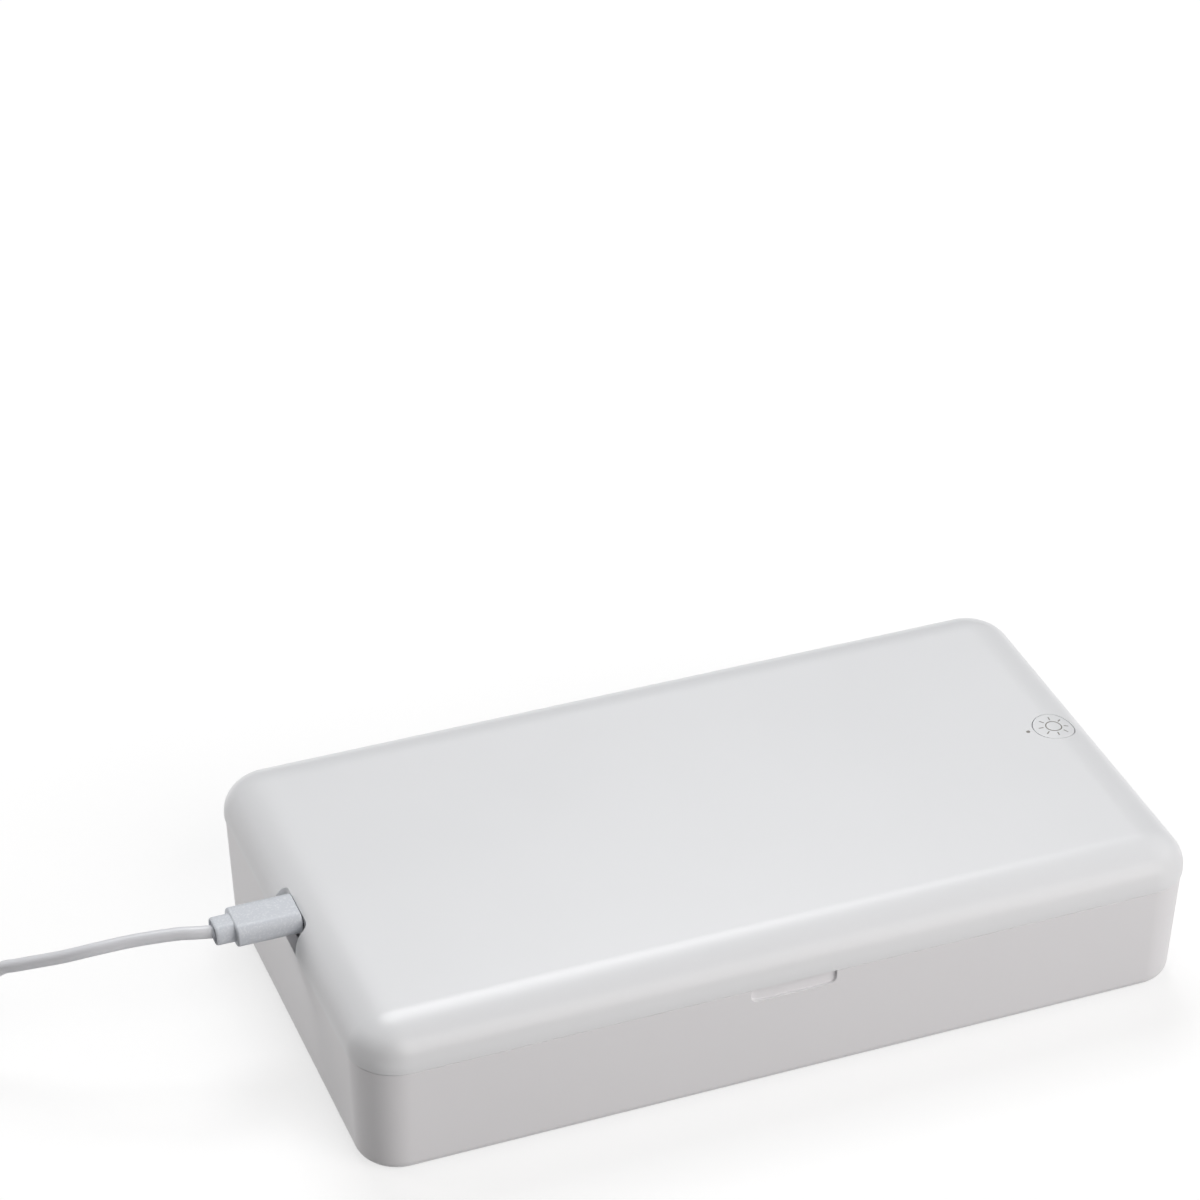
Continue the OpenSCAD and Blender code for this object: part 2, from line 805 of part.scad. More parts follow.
// Circle and rays of the mark
module sun_plan() {
    difference() {
        circle(sun_r + line_w / 2);
        circle(sun_r - line_w / 2);
    }
    for (i = [0 : sun_rays - 1])
        rotate([0, 0, i * 360 / sun_rays + sun_turn])
            translate([sun_r + sun_ray_gap, -line_w / 2])
                square([sun_ray_l, line_w]);
}

module button_cap() color([0.87, 0.875, 0.88]) {
    difference() {
        intersection() {
            translate([button_x, 0, cap_z])
                cylinder(d = button_d, h = lid_h);
            end_dome(1, button_d + 4, 0);
        }
        difference() {
            translate([button_x, 0, flange_top])
                linear_extrude(lid_h)
                    sun_plan();
            end_dome(1, button_d + 4, sun_depth);
        }
    }
    translate([button_x, 0, cap_z])
        cylinder(d = flange_d, h = flange_t);
}

// A round tube swept along its own points; first and last are the directions
// that its flat ends face
module swept(points, d, sides, first, last) {
    n = len(points);
    function dir(i) = i == 0 ? first
        : i == n - 1 ? last
        : points[i + 1] - points[i - 1];
    function unit(v) = v / norm(v);
    rings = [for (i = [0 : n - 1])
        let (t = unit(dir(i)), a = unit(cross(t, abs(t[2]) > 0.9 ? [1, 0, 0] : [0, 0, 1])), b = cross(a, t))
        for (k = [0 : sides - 1])
            points[i] + d / 2 * (a * cos(360 * k / sides) + b * sin(360 * k / sides))];
    faces = concat(
        [[for (k = [sides - 1 : -1 : 0]) k]],
        [for (i = [0 : n - 2], k = [0 : sides - 1])
            [i * sides + k, i * sides + (k + 1) % sides,
                (i + 1) * sides + (k + 1) % sides, (i + 1) * sides + k]],
        [[for (k = [0 : sides - 1]) (n - 1) * sides + k]]);
    polyhedron(rings, faces, convexity = 4);
}

// Rounded points of a route: a smooth curve through the given points
function bend(p, steps) = concat([p[0]],
    [for (i = [0 : len(p) - 2], k = [1 : steps])
        let (t = k / steps, a = p[max(i - 1, 0)], b = p[i], c = p[i + 1], e = p[min(i + 2, len(p) - 1)])
        0.5 * (2 * b + (c - a) * t + (2 * a - 5 * b + 4 * c - e) * t * t
            + (3 * b - a - 3 * c + e) * t * t * t)]);

// A wire from its pad on the main board over the plate to its pad on the small board
module wire_run(row) {
    low = plate_top + 0.6 * wire_d;
    start_x = main_x + board_l;
    flat = [[start_x - 3, 0.54 * wire_lane, board_top + 0.7 * wire_d],
        [start_x + 0.7 * wire_lead, 0.75 * wire_lane, low + wire_d],
        [start_x + 2.8 * wire_lead, wire_lane, low], [small_board_x - 3 * wire_lead, wire_lane, low],
        [small_board_x - wire_lead, wire_lane / 2, low + 0.3 * wire_d],
        [small_board_x + 1.4, 0.05 * wire_lane, small_top + 0.6 * wire_d]];
    points = [for (p = flat) p + [0, row * wire_pitch, 0]];
    swept(bend(points, 5), wire_d, 8, points[1] - points[0], points[5] - points[4]);
}

module wire_red() color([0.75, 0.12, 0.1])
    wire_run(0);

module wire_black() color([0.12, 0.12, 0.12])
    wire_run(1);

module plug_moulding() color([0.78, 0.79, 0.81])
    translate([plug_back_x, 0, port_z])
        rotate([90, 0, 90])
            linear_extrude(plug_l)
                rounded(plug_w, plug_h, 2.3);

module plug_shell() color([0.8, 0.8, 0.82])
    translate([0, 0, port_z])
        difference() {
            stadium(front_x, tip_l, tip_w, tip_h);
            stadium(front_x + 0.5, tip_l, tip_w - 0.6, tip_h - 0.6);
        }

module plug_collar() color([0.78, 0.79, 0.81])
    translate([cord_x, 0, port_z])
        rotate([90, 0, 90])
            linear_extrude(collar_l)
                rounded(collar_w, collar_h, 2.1);

module cord_tube() color([0.74, 0.74, 0.76])
    swept(bend(route, 2), cord_d, 8, [-1, 0, 0], [-1, 0, 0]);

module coil_section(grow) {
    translate([coil_out - coil_cols * cord_d - grow, floor_gap])
        square([coil_cols * cord_d + 2 * grow, coil_h + grow]);
}

module cord_coil() color([0.74, 0.74, 0.76])
    translate([coil_x, coil_y, 0])
        rotate_extrude()
            coil_section(0);

module cord_tail() color([0.74, 0.74, 0.76])
    swept(bend(tail, 2), cord_d, 8, [0, 1, 0], [0, 1, 0]);

module coil_tie() color([0.2, 0.2, 0.21])
    translate([coil_x, coil_y, 0])
        rotate([0, 0, -12])
            rotate_extrude(angle = 24)
                difference() {
                    coil_section(1);
                    coil_section(0);
                }

module far_moulding() color([0.78, 0.79, 0.81])
    translate([far_x, far_y, far_z])
        rotate([-90, 0, 0])
            linear_extrude(far_l)
                rounded(far_w, far_h, 2);

module far_shell() color([0.8, 0.8, 0.82])
    translate([far_x, far_y + far_l, far_z])
        rotate([-90, 0, 0])
            linear_extrude(far_shell_l)
                difference() {
                    square([12, 4.5], center = true);
                    square([11.4, 3.9], center = true);
                }

module far_tongue() color([0.93, 0.93, 0.93])
    translate([far_x - 5.6, far_y + far_l, far_z + 0.05])
        cube([11.2, far_shell_l - 1, 1.8]);

base_tray();
foot_pads();
lid_shell();
inner_cover();
lamp_board();
uvc_lamps();
uvc_lenses();
uva_lamps();
main_board();
board_screws();
controller_chip();
power_inductor();
board_capacitors();
lamp_driver();
port_shell();
port_tongue();
switch_body();
switch_plunger();
button_board();
tact_switch();
tact_actuator();
indicator_lamp();
light_pipe();
button_cap();
wire_red();
wire_black();
plug_moulding();
plug_shell();
plug_collar();
cord_tube();
cord_coil();
cord_tail();
coil_tie();
far_moulding();
far_shell();
far_tongue();
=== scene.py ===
# %% [markdown]
# # An ultraviolet sanitizer box in cells
# The object is a plastic box for small hand-held devices: a deep tray, a domed lid that lifts off, a flush
# push button with a sun mark, and a cable in the port at the other end. The solids come from the packed
# frame. Each cell below makes one piece or one finish around that frame, in metres, in the same place.

# %% Start
import math

import bmesh
import bpy
import numpy as np
from mathutils import Matrix, Vector


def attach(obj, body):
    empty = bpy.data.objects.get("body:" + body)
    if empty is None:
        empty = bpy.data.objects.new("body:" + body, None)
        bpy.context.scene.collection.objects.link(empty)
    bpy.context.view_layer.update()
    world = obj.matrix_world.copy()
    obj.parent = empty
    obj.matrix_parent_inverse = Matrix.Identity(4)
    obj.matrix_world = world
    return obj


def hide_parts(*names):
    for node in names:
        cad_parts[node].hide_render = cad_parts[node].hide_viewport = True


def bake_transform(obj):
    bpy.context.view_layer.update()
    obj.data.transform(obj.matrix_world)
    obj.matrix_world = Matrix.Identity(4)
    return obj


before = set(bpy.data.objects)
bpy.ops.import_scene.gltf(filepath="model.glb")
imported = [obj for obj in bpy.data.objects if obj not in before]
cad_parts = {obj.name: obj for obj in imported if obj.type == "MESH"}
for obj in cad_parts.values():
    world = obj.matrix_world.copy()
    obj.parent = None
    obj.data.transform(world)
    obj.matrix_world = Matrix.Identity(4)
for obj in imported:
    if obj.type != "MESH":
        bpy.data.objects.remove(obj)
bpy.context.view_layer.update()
MM = 0.001

# %% [markdown]
# ## Camera
# The view is from the front, about 21 degrees round to the left and 34 degrees above the table, with a long
# lens, so the box shows little perspective. The three directions are worked out first and the camera is then
# placed so that one known point of the box falls on one point of the 1200 by 1200 picture.

# %% Camera
PICTURE, SENSOR_MM = 1200, 36
FOCAL_PIXELS = 4090.542
AZIMUTH, ELEVATION, ROLL = (math.radians(a) for a in (21.408, 33.632, 0.469))
KNOWN_POINT = Vector((0, 0, 22.5)) * MM
KNOWN_PIXEL = (699.141, 857.619)
KNOWN_DEPTH = 905.201 * MM


def camera_directions():
    flat = math.cos(ELEVATION)
    forward = Vector((math.sin(AZIMUTH) * flat, math.cos(AZIMUTH) * flat, -math.sin(ELEVATION)))
    level = Vector((math.cos(AZIMUTH), -math.sin(AZIMUTH), 0))
    upright = level.cross(forward)
    right = level * math.cos(ROLL) + upright * math.sin(ROLL)
    up = upright * math.cos(ROLL) - level * math.sin(ROLL)
    return right, up, forward


right, up, forward = camera_directions()
across = (KNOWN_PIXEL[0] - PICTURE / 2) / FOCAL_PIXELS * KNOWN_DEPTH
above = -(KNOWN_PIXEL[1] - PICTURE / 2) / FOCAL_PIXELS * KNOWN_DEPTH
camera = bpy.data.objects.new("camera", bpy.data.cameras.new("camera"))
camera.data.sensor_width = SENSOR_MM
camera.data.lens = FOCAL_PIXELS * SENSOR_MM / PICTURE
camera.data.clip_start, camera.data.clip_end = 0.05, 20
turn = Matrix((right, up, -forward)).transposed().to_4x4()
stand = KNOWN_POINT - right * across - up * above - forward * KNOWN_DEPTH
camera.matrix_world = Matrix.Translation(stand) @ turn
bpy.context.scene.collection.objects.link(camera)
bpy.context.scene.camera = camera
print("camera at", [round(c, 4) for c in camera.matrix_world.translation])

# %% [markdown]
# ## Sizes of the box
# The box is ruled by a few sizes: a rounded rectangle seen from above, and profiles that are drawn outward
# from the corners' axes. `u` is the distance from such an axis and `z` the height.

# %% Sizes
HALF_L, HALF_W, CORNER = 96.0, 53.1, 10.8
FLOOR_Z, RIM_Z, TOP_Z = 0.5, 27.5, 36.7
DOME_T, LAND_W, REBATE_H = 1.8, 1.3, 2.2
RIM_IN, TRAY_WALL, TRAY_FLOOR, DRAFT = 0.3, 2.4, 2.2, 0.044
RIM_U = CORNER - RIM_IN
SEAM_H, SEAM_D = 0.36, 0.9
FOOT_D, FOOT_T, FOOT_SPOTS = 8.0, 1.0, [(x, y) for x in (-80, 80) for y in (-37.1, 37.1)]
PLATE_TOP = RIM_Z + 1.8
LIP_IN, LIP_T, LIP_H, GROOVE_D = 3.6, 1.3, 5.0, 1.0
NOTCH_W, NOTCH_D, NOTCH_R, NOTCH_T = 15.6, 3.3, 1.8, 1.6
PORT_Z, PORT_W, PORT_H, PORT_R, PORT_L = 32.7, 9.3, 3.5, 1.7, 10.0
BUTTON_X, BUTTON_D, BUTTON_GAP = 86.2, 9.6, 0.15
PIPE_X, PIPE_D = BUTTON_X - 6.4, 1.0
KEY_X = -87.6
SIDES = (-1, 1)
print("box", 2 * HALF_L, "x", 2 * HALF_W, "x", TOP_Z, "mm")

# %% [markdown]
# ## Shader expressions
# Materials are graphs of nodes. Writing them as formulas is easier to read, so a small class wraps a socket
# and turns `+` and `*` into Math nodes. Any other node comes from one method, `node`.


# %% Shader expressions
class Value:
    """A node output that can be used in a formula."""

    def __init__(self, tree, socket):
        self.tree, self.socket = tree, socket

    def math(self, operation, other):
        return self.tree.node("ShaderNodeMath", {"operation": operation}, {0: self, 1: other})

    def __add__(self, other):
        return self.math("ADD", other)

    def __mul__(self, other):
        return self.math("MULTIPLY", other)

    __radd__, __rmul__ = __add__, __mul__


class Finish:
    """One material and the nodes in it."""

    def __init__(self, name):
        self.material = bpy.data.materials.new(name)
        self.material.use_nodes = True
        self.nodes = self.material.node_tree.nodes
        self.links = self.material.node_tree.links
        self.nodes.clear()
        self.output = self.nodes.new("ShaderNodeOutputMaterial")

    def node(self, kind, settings=None, inputs=None, out=0):
        made = self.nodes.new(kind)
        for key, value in (settings or {}).items():
            if key == "stops":
                ramp = made.color_ramp
                while len(ramp.elements) < len(value):
                    ramp.elements.new(0.5)
                for element, (place, colour) in zip(ramp.elements, value):
                    element.position = place
                    element.color = colour
            else:
                setattr(made, key, value)
        for key, value in (inputs or {}).items():
            self.join(made.inputs[key], value)
        return Value(self, made.outputs[out])

    def join(self, socket, value):
        if isinstance(value, Value):
            self.links.new(value.socket, socket)
        elif isinstance(value, tuple) and len(value) == 3 and socket.type == "RGBA":
            socket.default_value = (*value, 1)
        else:
            socket.default_value = value

    def place(self, scale=1.0, stretch=(1, 1, 1)):
        """Object coordinates, in metres times scale."""
        spot = self.node("ShaderNodeTexCoord", out="Object")
        factors = tuple(scale * s for s in stretch)
        return self.node("ShaderNodeVectorMath", {"operation": "MULTIPLY"}, {0: spot, 1: factors})

    def noise(self, size_mm, detail=2.0, stretch=(1, 1, 1), rough=0.5):
        """Noise from 0 to 1 with features of about size_mm."""
        spot = self.place(1 / (size_mm * MM), stretch)
        inputs = {"Vector": spot, "Scale": 1.0, "Detail": detail, "Roughness": rough}
        return self.node("ShaderNodeTexNoise", {}, inputs)

    def mix(self, factor, first, second):
        return self.node("ShaderNodeMix", {"data_type": "RGBA"}, {0: factor, 6: first, 7: second}, out=2)

    def tint(self, factor, colour, dark=0.9):
        """The colour where factor is 1, and the same one darkened where it is 0."""
        return self.mix(factor, linear(*[dark * c for c in colour]), linear(*colour))

    def bump(self, height, strength, distance_mm):
        inputs = {"Height": height, "Strength": strength, "Distance": distance_mm * MM}
        return self.node("ShaderNodeBump", {}, inputs)

    def surface(self, **inputs):
        """A Principled surface; keys are its socket names with _ for a space."""
        sockets = {key.replace("_", " "): value for key, value in inputs.items()}
        shader = self.node("ShaderNodeBsdfPrincipled", {}, sockets)
        self.links.new(shader.socket, self.output.inputs["Surface"])
        return self.material


def linear(*srgb):
    """A colour written as it looks, 0 to 255, as the linear values that a shader takes."""
    shares = [c / 255 for c in srgb]
    return tuple(s / 12.92 if s <= 0.04045 else ((s + 0.055) / 1.055) ** 2.4 for s in shares)


# %% [markdown]
# ## Moulded plastics
# The lid, the tray and the inner cover are injection moulded. Such plastic isn't one flat colour: it has a
# very fine spark-eroded grain, which dulls the shine a little, faint cloudy flow and fine wear. The grain is
# a small noise that feeds bump and roughness, and the flow is a large noise that feeds the colour.


# %% Moulded plastics
def moulded(name, colour, shade, roughness, grain_mm=0.16, grain=0.12, cloud_mm=38, painted_flake_glint=0.0):
    """Pale plastic with a fine grain, clouds in a darker shade, and lighter specks: a painted glint of pearly
    flakes.
    """
    f = Finish(name)
    cloud = f.noise(cloud_mm, detail=3.0)
    fine = f.noise(grain_mm, detail=2.0)
    speck = f.noise(grain_mm * 5, detail=4.0, rough=0.7)
    colour_mix = f.mix(cloud * 0.7 + speck * 0.3, linear(*shade), linear(*colour))
    if painted_flake_glint:
        stops = ((0.5, (0, 0, 0, 1)), (0.72, (1, 1, 1, 1)))
        # Painted glint: the sparkle of the pearly flakes is painted as near-white specks in the base colour.
        painted_glint_specks = f.node("ShaderNodeValToRGB", {"stops": stops}, {"Fac": f.noise(0.45, detail=1.0)})
        colour_mix = f.mix(painted_glint_specks * painted_flake_glint, colour_mix, linear(250, 251, 253))
    rough = fine * 0.05 + cloud * 0.06 + (roughness - 0.055)
    return f.surface(Base_Color=colour_mix, Roughness=rough, Normal=f.bump(fine, grain, 0.02), IOR=1.46)


lid_plastic = moulded("lid_plastic", (228, 229, 231), (224, 225, 227), 0.3)
tray_plastic = moulded("tray_plastic", (228, 227, 229), (224, 223, 225), 0.34, cloud_mm=45)
cover_plastic = moulded("cover_plastic", (230, 232, 234), (225, 227, 229), 0.3, grain=0.06)
plug_plastic = moulded("plug_plastic", (209, 213, 219), (201, 205, 212), 0.42, grain_mm=0.32, grain=0.7,
                       cloud_mm=9, painted_flake_glint=0.26)
cord_jacket = moulded("cord_jacket", (229, 230, 234), (223, 224, 228), 0.34, grain_mm=0.2, cloud_mm=14)
print("plastics", [m.name for m in (lid_plastic, tray_plastic, cover_plastic, plug_plastic, cord_jacket)])

# %% [markdown]
# ## Metals, boards and small parts
# Metal that is drawn or stamped has fine lines along one direction, so its noise is stretched. A circuit
# board has a solder mask with copper showing faintly through it, made from a brick pattern.


# %% Metals, boards and small parts
def drawn_metal(name, colour, roughness, lines=(1, 12, 12)):
    """Metal with fine lines; lines says how often its noise repeats along each axis."""
    f = Finish(name)
    streak = f.noise(2.4, detail=3.0, stretch=lines)
    tint = f.tint(streak, colour)
    rough = streak * 0.14 + (roughness - 0.07)
    return f.surface(Base_Color=tint, Metallic=1.0, Roughness=rough, Normal=f.bump(streak, 0.08, 0.01))


def board_mask(name, colour, copper):
    """Solder mask over copper tracks, which show as the mortar of a brick pattern."""
    f = Finish(name)
    bricks = {"Vector": f.place(1 / MM), "Scale": 0.42, "Mortar Size": 0.08,
              "Color1": (0, 0, 0), "Color2": (0, 0, 0), "Mortar": (1, 1, 1)}
    tracks = f.node("ShaderNodeTexBrick", {"offset": 0.5}, bricks)
    weave = f.noise(0.4, detail=1.0)
    face = f.mix(tracks, f.tint(weave, colour), linear(*copper))
    return f.surface(Base_Color=face, Roughness=weave * 0.1 + 0.3, Normal=f.bump(tracks, 0.3, 0.03))


def plain_part(name, colour, roughness, size_mm=1.2):
    """A dull part in one colour with slight patches of about size_mm."""
    f = Finish(name)
    patch = f.noise(size_mm, detail=4.0, rough=0.6)
    tint = f.tint(patch, colour, 0.88)
    rough = patch * 0.12 + (roughness - 0.06)
    return f.surface(Base_Color=tint, Roughness=rough, Normal=f.bump(patch, 0.15, 0.03))


steel = drawn_metal("steel", (205, 205, 208), 0.28)
gold = drawn_metal("gold", (226, 182, 96), 0.32, (4, 4, 4))
green_mask = board_mask("green_mask", (26, 92, 58), (60, 128, 84))
white_mask = board_mask("white_mask", (236, 236, 232), (226, 224, 214))
black_part = plain_part("black_part", (34, 34, 36), 0.45)
tan_part = plain_part("tan_part", (176, 150, 112), 0.5)
ceramic = plain_part("ceramic", (236, 234, 226), 0.4)
white_part = plain_part("white_part", (236, 236, 236), 0.4)
foot_rubber = plain_part("foot_rubber", (150, 150, 150), 0.75, 0.5)
smoky = plain_part("smoky", (150, 146, 140), 0.3, 0.5)
red_wire = plain_part("red_wire", (190, 34, 28), 0.4)
black_wire = plain_part("black_wire", (32, 32, 32), 0.4)


LOOKS = (
    (tray_plastic, "base_tray"),
    (foot_rubber, "foot_pads"),
    (lid_plastic, "lid_shell button_cap"),
    (cover_plastic, "inner_cover"),
    (white_mask, "lamp_board"),
    (gold, "uvc_lamps"),
    (ceramic, "uvc_lenses uva_lamps indicator_lamp"),
    (green_mask, "main_board button_board"),
    (steel, "board_screws port_shell switch_plunger tact_switch plug_shell far_shell"),
    (black_part, "controller_chip power_inductor lamp_driver port_tongue switch_body tact_actuator coil_tie"),
    (tan_part, "board_capacitors"),
    (smoky, "light_pipe"),
    (red_wire, "wire_red"),
    (black_wire, "wire_black"),
    (plug_plastic, "plug_moulding plug_collar far_moulding"),
    (cord_jacket, "cord_tube cord_coil cord_tail"),
    (white_part, "far_tongue"))
dressed = {node: material for material, nodes in LOOKS for node in nodes.split()}
for node, material in dressed.items():
    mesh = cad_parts[node].data
    mesh.materials.clear()
    mesh.materials.append(material)
print("nodes with a finish", len(dressed), "of", len(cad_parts))

# %% [markdown]
# ## The cord
# The cord is a bit under one metre long. It leaves the plug's collar, falls to the table and goes round
# seven times in a neat coil, then on to the plug at its other end. It is one smooth tube along one list of
# points: the first stretch goes through listed points, the coil's turns are worked out, and the last
# stretch is again listed. In the coil the turns lie four side by side and two high; each turn steps over to
# the next place at a different spot, earlier each time, so that no turn has to pass through another.

# %% The cord's path
CORD_D = 2.9
COIL_X, COIL_Y, COIL_D = -188.0, 42.0, 34.0
COIL_COLUMNS = 4
COIL_OUT = COIL_D / 2 + COIL_COLUMNS / 2 * CORD_D
# Shares of a turn: where the first step to the next place starts, how much earlier each later one starts,
# how long a step is, and how long the cord takes to close up with the coil at its start.
STEP_AT, STEP_EARLIER, STEP_RUN, RUN_IN = 0.885, 0.088, 0.085, 0.22
CORD_START = (-111.5, 0.0, PORT_Z)
FRONT_Y = COIL_Y - COIL_OUT - CORD_D / 2 - 0.3
CORD_Z = 1.5
ROUTE = [CORD_START, (-115.5, 0.9, 32.8), (-119.5, 2.3, 32.5), (-128, 4.6, 31.4), (-136.2, 6.4, 30),
         (-142.5, 8.8, 28), (-151, 13.2, 25), (-154.4, 15.2, 23.4), (-160, 16.9, 18.8), (-167, 17.6, 11),
         (-175, FRONT_Y, 4.6), (-182, FRONT_Y, 2)]
FAR_X, FAR_Y, FAR_H, FAR_W, FAR_L = COIL_X - 4, COIL_Y + 46, 7.6, 15.6, 20.0
TAIL_X = COIL_X - COIL_OUT + CORD_D / 2
TAIL = [(TAIL_X - 0.3, COIL_Y + 6, 4.3), (TAIL_X + 0.2, COIL_Y + 13, 3.2), (TAIL_X + 2.8, COIL_Y + 21, 2.1),
        (TAIL_X + 7.8, COIL_Y + 29, 2.3), (FAR_X - 3.4, COIL_Y + 35.5, 3.3), (FAR_X, COIL_Y + 41, FAR_H / 2),
        (FAR_X, FAR_Y, FAR_H / 2)]
SPANS = 6


def smooth(points, steps):
    """Points of a curve through the given points (Catmull-Rom)."""
    p = [Vector(q) for q in points]
    made = [p[0]]
    for i in range(len(p) - 1):
        a, b, c, e = p[max(i - 1, 0)], p[i], p[i + 1], p[min(i + 2, len(p) - 1)]
        slope, bend, twist = c - a, 2 * a - 5 * b + 4 * c - e, 3 * b - a - 3 * c + e
        for k in range(1, steps + 1):
            t = k / steps
            made.append(0.5 * (2 * b + slope * t + bend * t * t + twist * t ** 3))
    return made


def ease(x):
    """From 0 to 1 without a kink at either end."""
    x = min(1.0, max(0.0, x))
    return x * x * (3 - 2 * x)


def coil_points(per_turn=32):
    """Seven turns and a quarter, from the outside of the bottom layer to the outside of the top one."""
    places = [(k, 0) for k in reversed(range(COIL_COLUMNS))] + [(k, 1) for k in range(COIL_COLUMNS)]
    last = len(places) - 1
    made = []
    for i in range(last * per_turn + per_turn // 4 + 1):
        turn_index, phase = divmod(i / per_turn, 1.0)
        here = places[int(turn_index)]
        after = places[min(int(turn_index) + 1, last)]
        share = ease((phase - (STEP_AT - STEP_EARLIER * turn_index)) / STEP_RUN)
        column = here[0] + (after[0] - here[0]) * share
        layer = here[1] + (after[1] - here[1]) * share
        r = COIL_D / 2 + CORD_D * (column - (COIL_COLUMNS - 1) / 2)
        if turn_index == 0:
            r += (COIL_Y - FRONT_Y - COIL_OUT + CORD_D / 2) * (1 - ease(phase / RUN_IN))
        angle = -math.pi / 2 - 2 * math.pi * phase
        x, y = COIL_X + r * math.cos(angle), COIL_Y + r * math.sin(angle)
        made.append(Vector((x, y, CORD_Z + CORD_D * layer)))
    return made


def skin(rings):
    """Vertices and faces of a closed skin over rings of equally many points, filled at both ends."""
    n, last = len(rings[0]), len(rings) - 1
    faces = [(i * n + k, i * n + (k + 1) % n, (i + 1) * n + (k + 1) % n, (i + 1) * n + k)
             for i in range(last) for k in range(n)]
    faces.append(tuple(reversed(range(n))))
    faces.append(tuple(last * n + k for k in range(n)))
    return [point for points in rings for point in points], faces


def tube(points, radius, sides):
    """A closed round tube along points."""
    rings = []
    side = Vector((0, 0, 1))
    for i, p in enumerate(points):
        ahead = (points[min(i + 1, len(points) - 1)] - points[max(i - 1, 0)]).normalized()
        side = (side - ahead * side.dot(ahead)).normalized()
        other = ahead.cross(side)
        angles = [2 * math.pi * k / sides for k in range(sides)]
        rings.append([p + (side * math.cos(a) + other * math.sin(a)) * radius for a in angles])
    return skin(rings)


def new_piece(name, verts, faces, material):
    """A mesh object at the origin, from points in millimetres."""
    mesh = bpy.data.meshes.new(name)
    mesh.from_pydata([tuple(c * MM for c in v) for v in verts], [], faces)
    mesh.validate()
    mesh.materials.append(material)
    piece = bpy.data.objects.new(name, mesh)
    bpy.context.scene.collection.objects.link(piece)
    return piece


def even(points, step):
    """The same line with its points an equal distance apart, and its length."""
    spots = np.array([tuple(p) for p in points])
    along = np.concatenate([[0], np.cumsum(np.linalg.norm(np.diff(spots, axis=0), axis=1))])
    count = max(2, int(round(along[-1] / step)) + 1)
    wanted = np.linspace(0, along[-1], count)
    line = [Vector([float(np.interp(w, along, spots[:, k])) for k in range(3)]) for w in wanted]
    return line, float(along[-1])


turns = coil_points()
lead = smooth([*ROUTE, turns[0], turns[2]], SPANS)[:-SPANS]
tail = smooth([turns[-3], turns[-1], *TAIL], SPANS)[SPANS + 1:]
cord_path, cord_length = even(lead + turns[1:] + tail, 1.0)
cord = new_piece("charging_cord", *tube(cord_path, CORD_D / 2, 14), cord_jacket)
for polygon in cord.data.polygons:
    polygon.use_smooth = len(polygon.vertices) == 4
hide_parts("cord_tube", "cord_coil", "cord_tail")
print("cord length mm", round(cord_length, 1), "points", len(cord_path))

# %% [markdown]
# ## Rings and lofts
# The lid, the tray and the inner cover are all the same kind of form: one profile carried round a rounded
# rectangle. So one function turns a profile into a closed mesh. Every corner of a profile gets a small
# radius first, because a moulded edge is never sharp and the light along it shows that.


# %% Rings and lofts
def arc(x, y, r, start, end, steps=10):
    """Points of an arc round (x, y), between two angles in degrees."""
    angles = [math.radians(start + (end - start) * k / steps) for k in range(steps + 1)]
    return [(x + r * math.cos(a), y + r * math.sin(a)) for a in angles]


def four_corners(a, b, r, x=0.0, y=0.0, steps=20):
    """A rounded rectangle, counter-clockwise; its corners' axes are a and b away from (x, y)."""
    made = []
    for quarter, (sx, sy) in enumerate([(1, 1), (-1, 1), (-1, -1), (1, -1)]):
        made += arc(x + sx * a, y + sy * b, r, 90 * quarter, 90 * quarter + 90, steps)
    return made


def slab(length, width, r, x=0.0, y=0.0, steps=8):
    """A rounded rectangle of that length and width, with its middle at (x, y)."""
    return four_corners(length / 2 - r, width / 2 - r, r, x, y, steps)


def ring(u):
    """The box's outline at a distance u outward from the corners' axes."""
    return four_corners(HALF_L - CORNER, HALF_W - CORNER, u)


def rounded(corners, steps=4):
    """A profile of (u, z, radius) corners, as points with each corner rounded."""
    made = []
    for i, (u, z, radius) in enumerate(corners):
        here = Vector((u, z))
        if radius == 0 or i in (0, len(corners) - 1):
            made.append(tuple(here))
            continue
        back = (Vector(corners[i - 1][:2]) - here).normalized()
        ahead = (Vector(corners[i + 1][:2]) - here).normalized()
        half = back.angle(ahead) / 2
        centre = here + (back + ahead).normalized() * (radius / math.sin(half))
        start, end = here + back * (radius / math.tan(half)), here + ahead * (radius / math.tan(half))
        sweep = (start - centre).angle_signed(end - centre)
        arm = start - centre
        for k in range(steps + 1):
            cos, sin = math.cos(-sweep * k / steps), math.sin(-sweep * k / steps)
            made.append(tuple(centre + Vector((arm.x * cos - arm.y * sin, arm.x * sin + arm.y * cos))))
    return made


def loft(profile):
    """The closed solid whose skin is the profile carried round the box."""
    return skin([[(x, y, z) for x, y in ring(u)] for u, z in profile])


def extrude(outline, low, high):
    """A prism from a counter-clockwise outline in X and Y."""
    return skin([[(x, y, z) for x, y in outline] for z in (low, high)])


def shape(verts, faces):
    """A throwaway object for a cut, merged and closed."""
    piece = new_piece("cutter", verts, faces, lid_plastic)
    weld(piece.data)
    return piece


def prism(outline, low, high):
    return shape(*extrude(outline, low, high))


def weld(mesh, distance=0.003):
    work = bmesh.new()
    work.from_mesh(mesh)
    bmesh.ops.remove_doubles(work, verts=work.verts, dist=distance * MM)
    bmesh.ops.recalc_face_normals(work, faces=work.faces)
    work.to_mesh(mesh)
    work.free()


def bake(piece):
    """Makes the piece's modifiers part of its mesh."""
    graph = bpy.context.evaluated_depsgraph_get()
    graph.update()
    made = bpy.data.meshes.new_from_object(piece.evaluated_get(graph))
    piece.modifiers.clear()
    piece.data = made


def cut(piece, tools, operation="DIFFERENCE"):
    for tool in tools:
        step = piece.modifiers.new("cut", "BOOLEAN")
        step.operation, step.object, step.solver = operation, tool, "EXACT"
        bake(piece)
        bpy.data.objects.remove(tool)


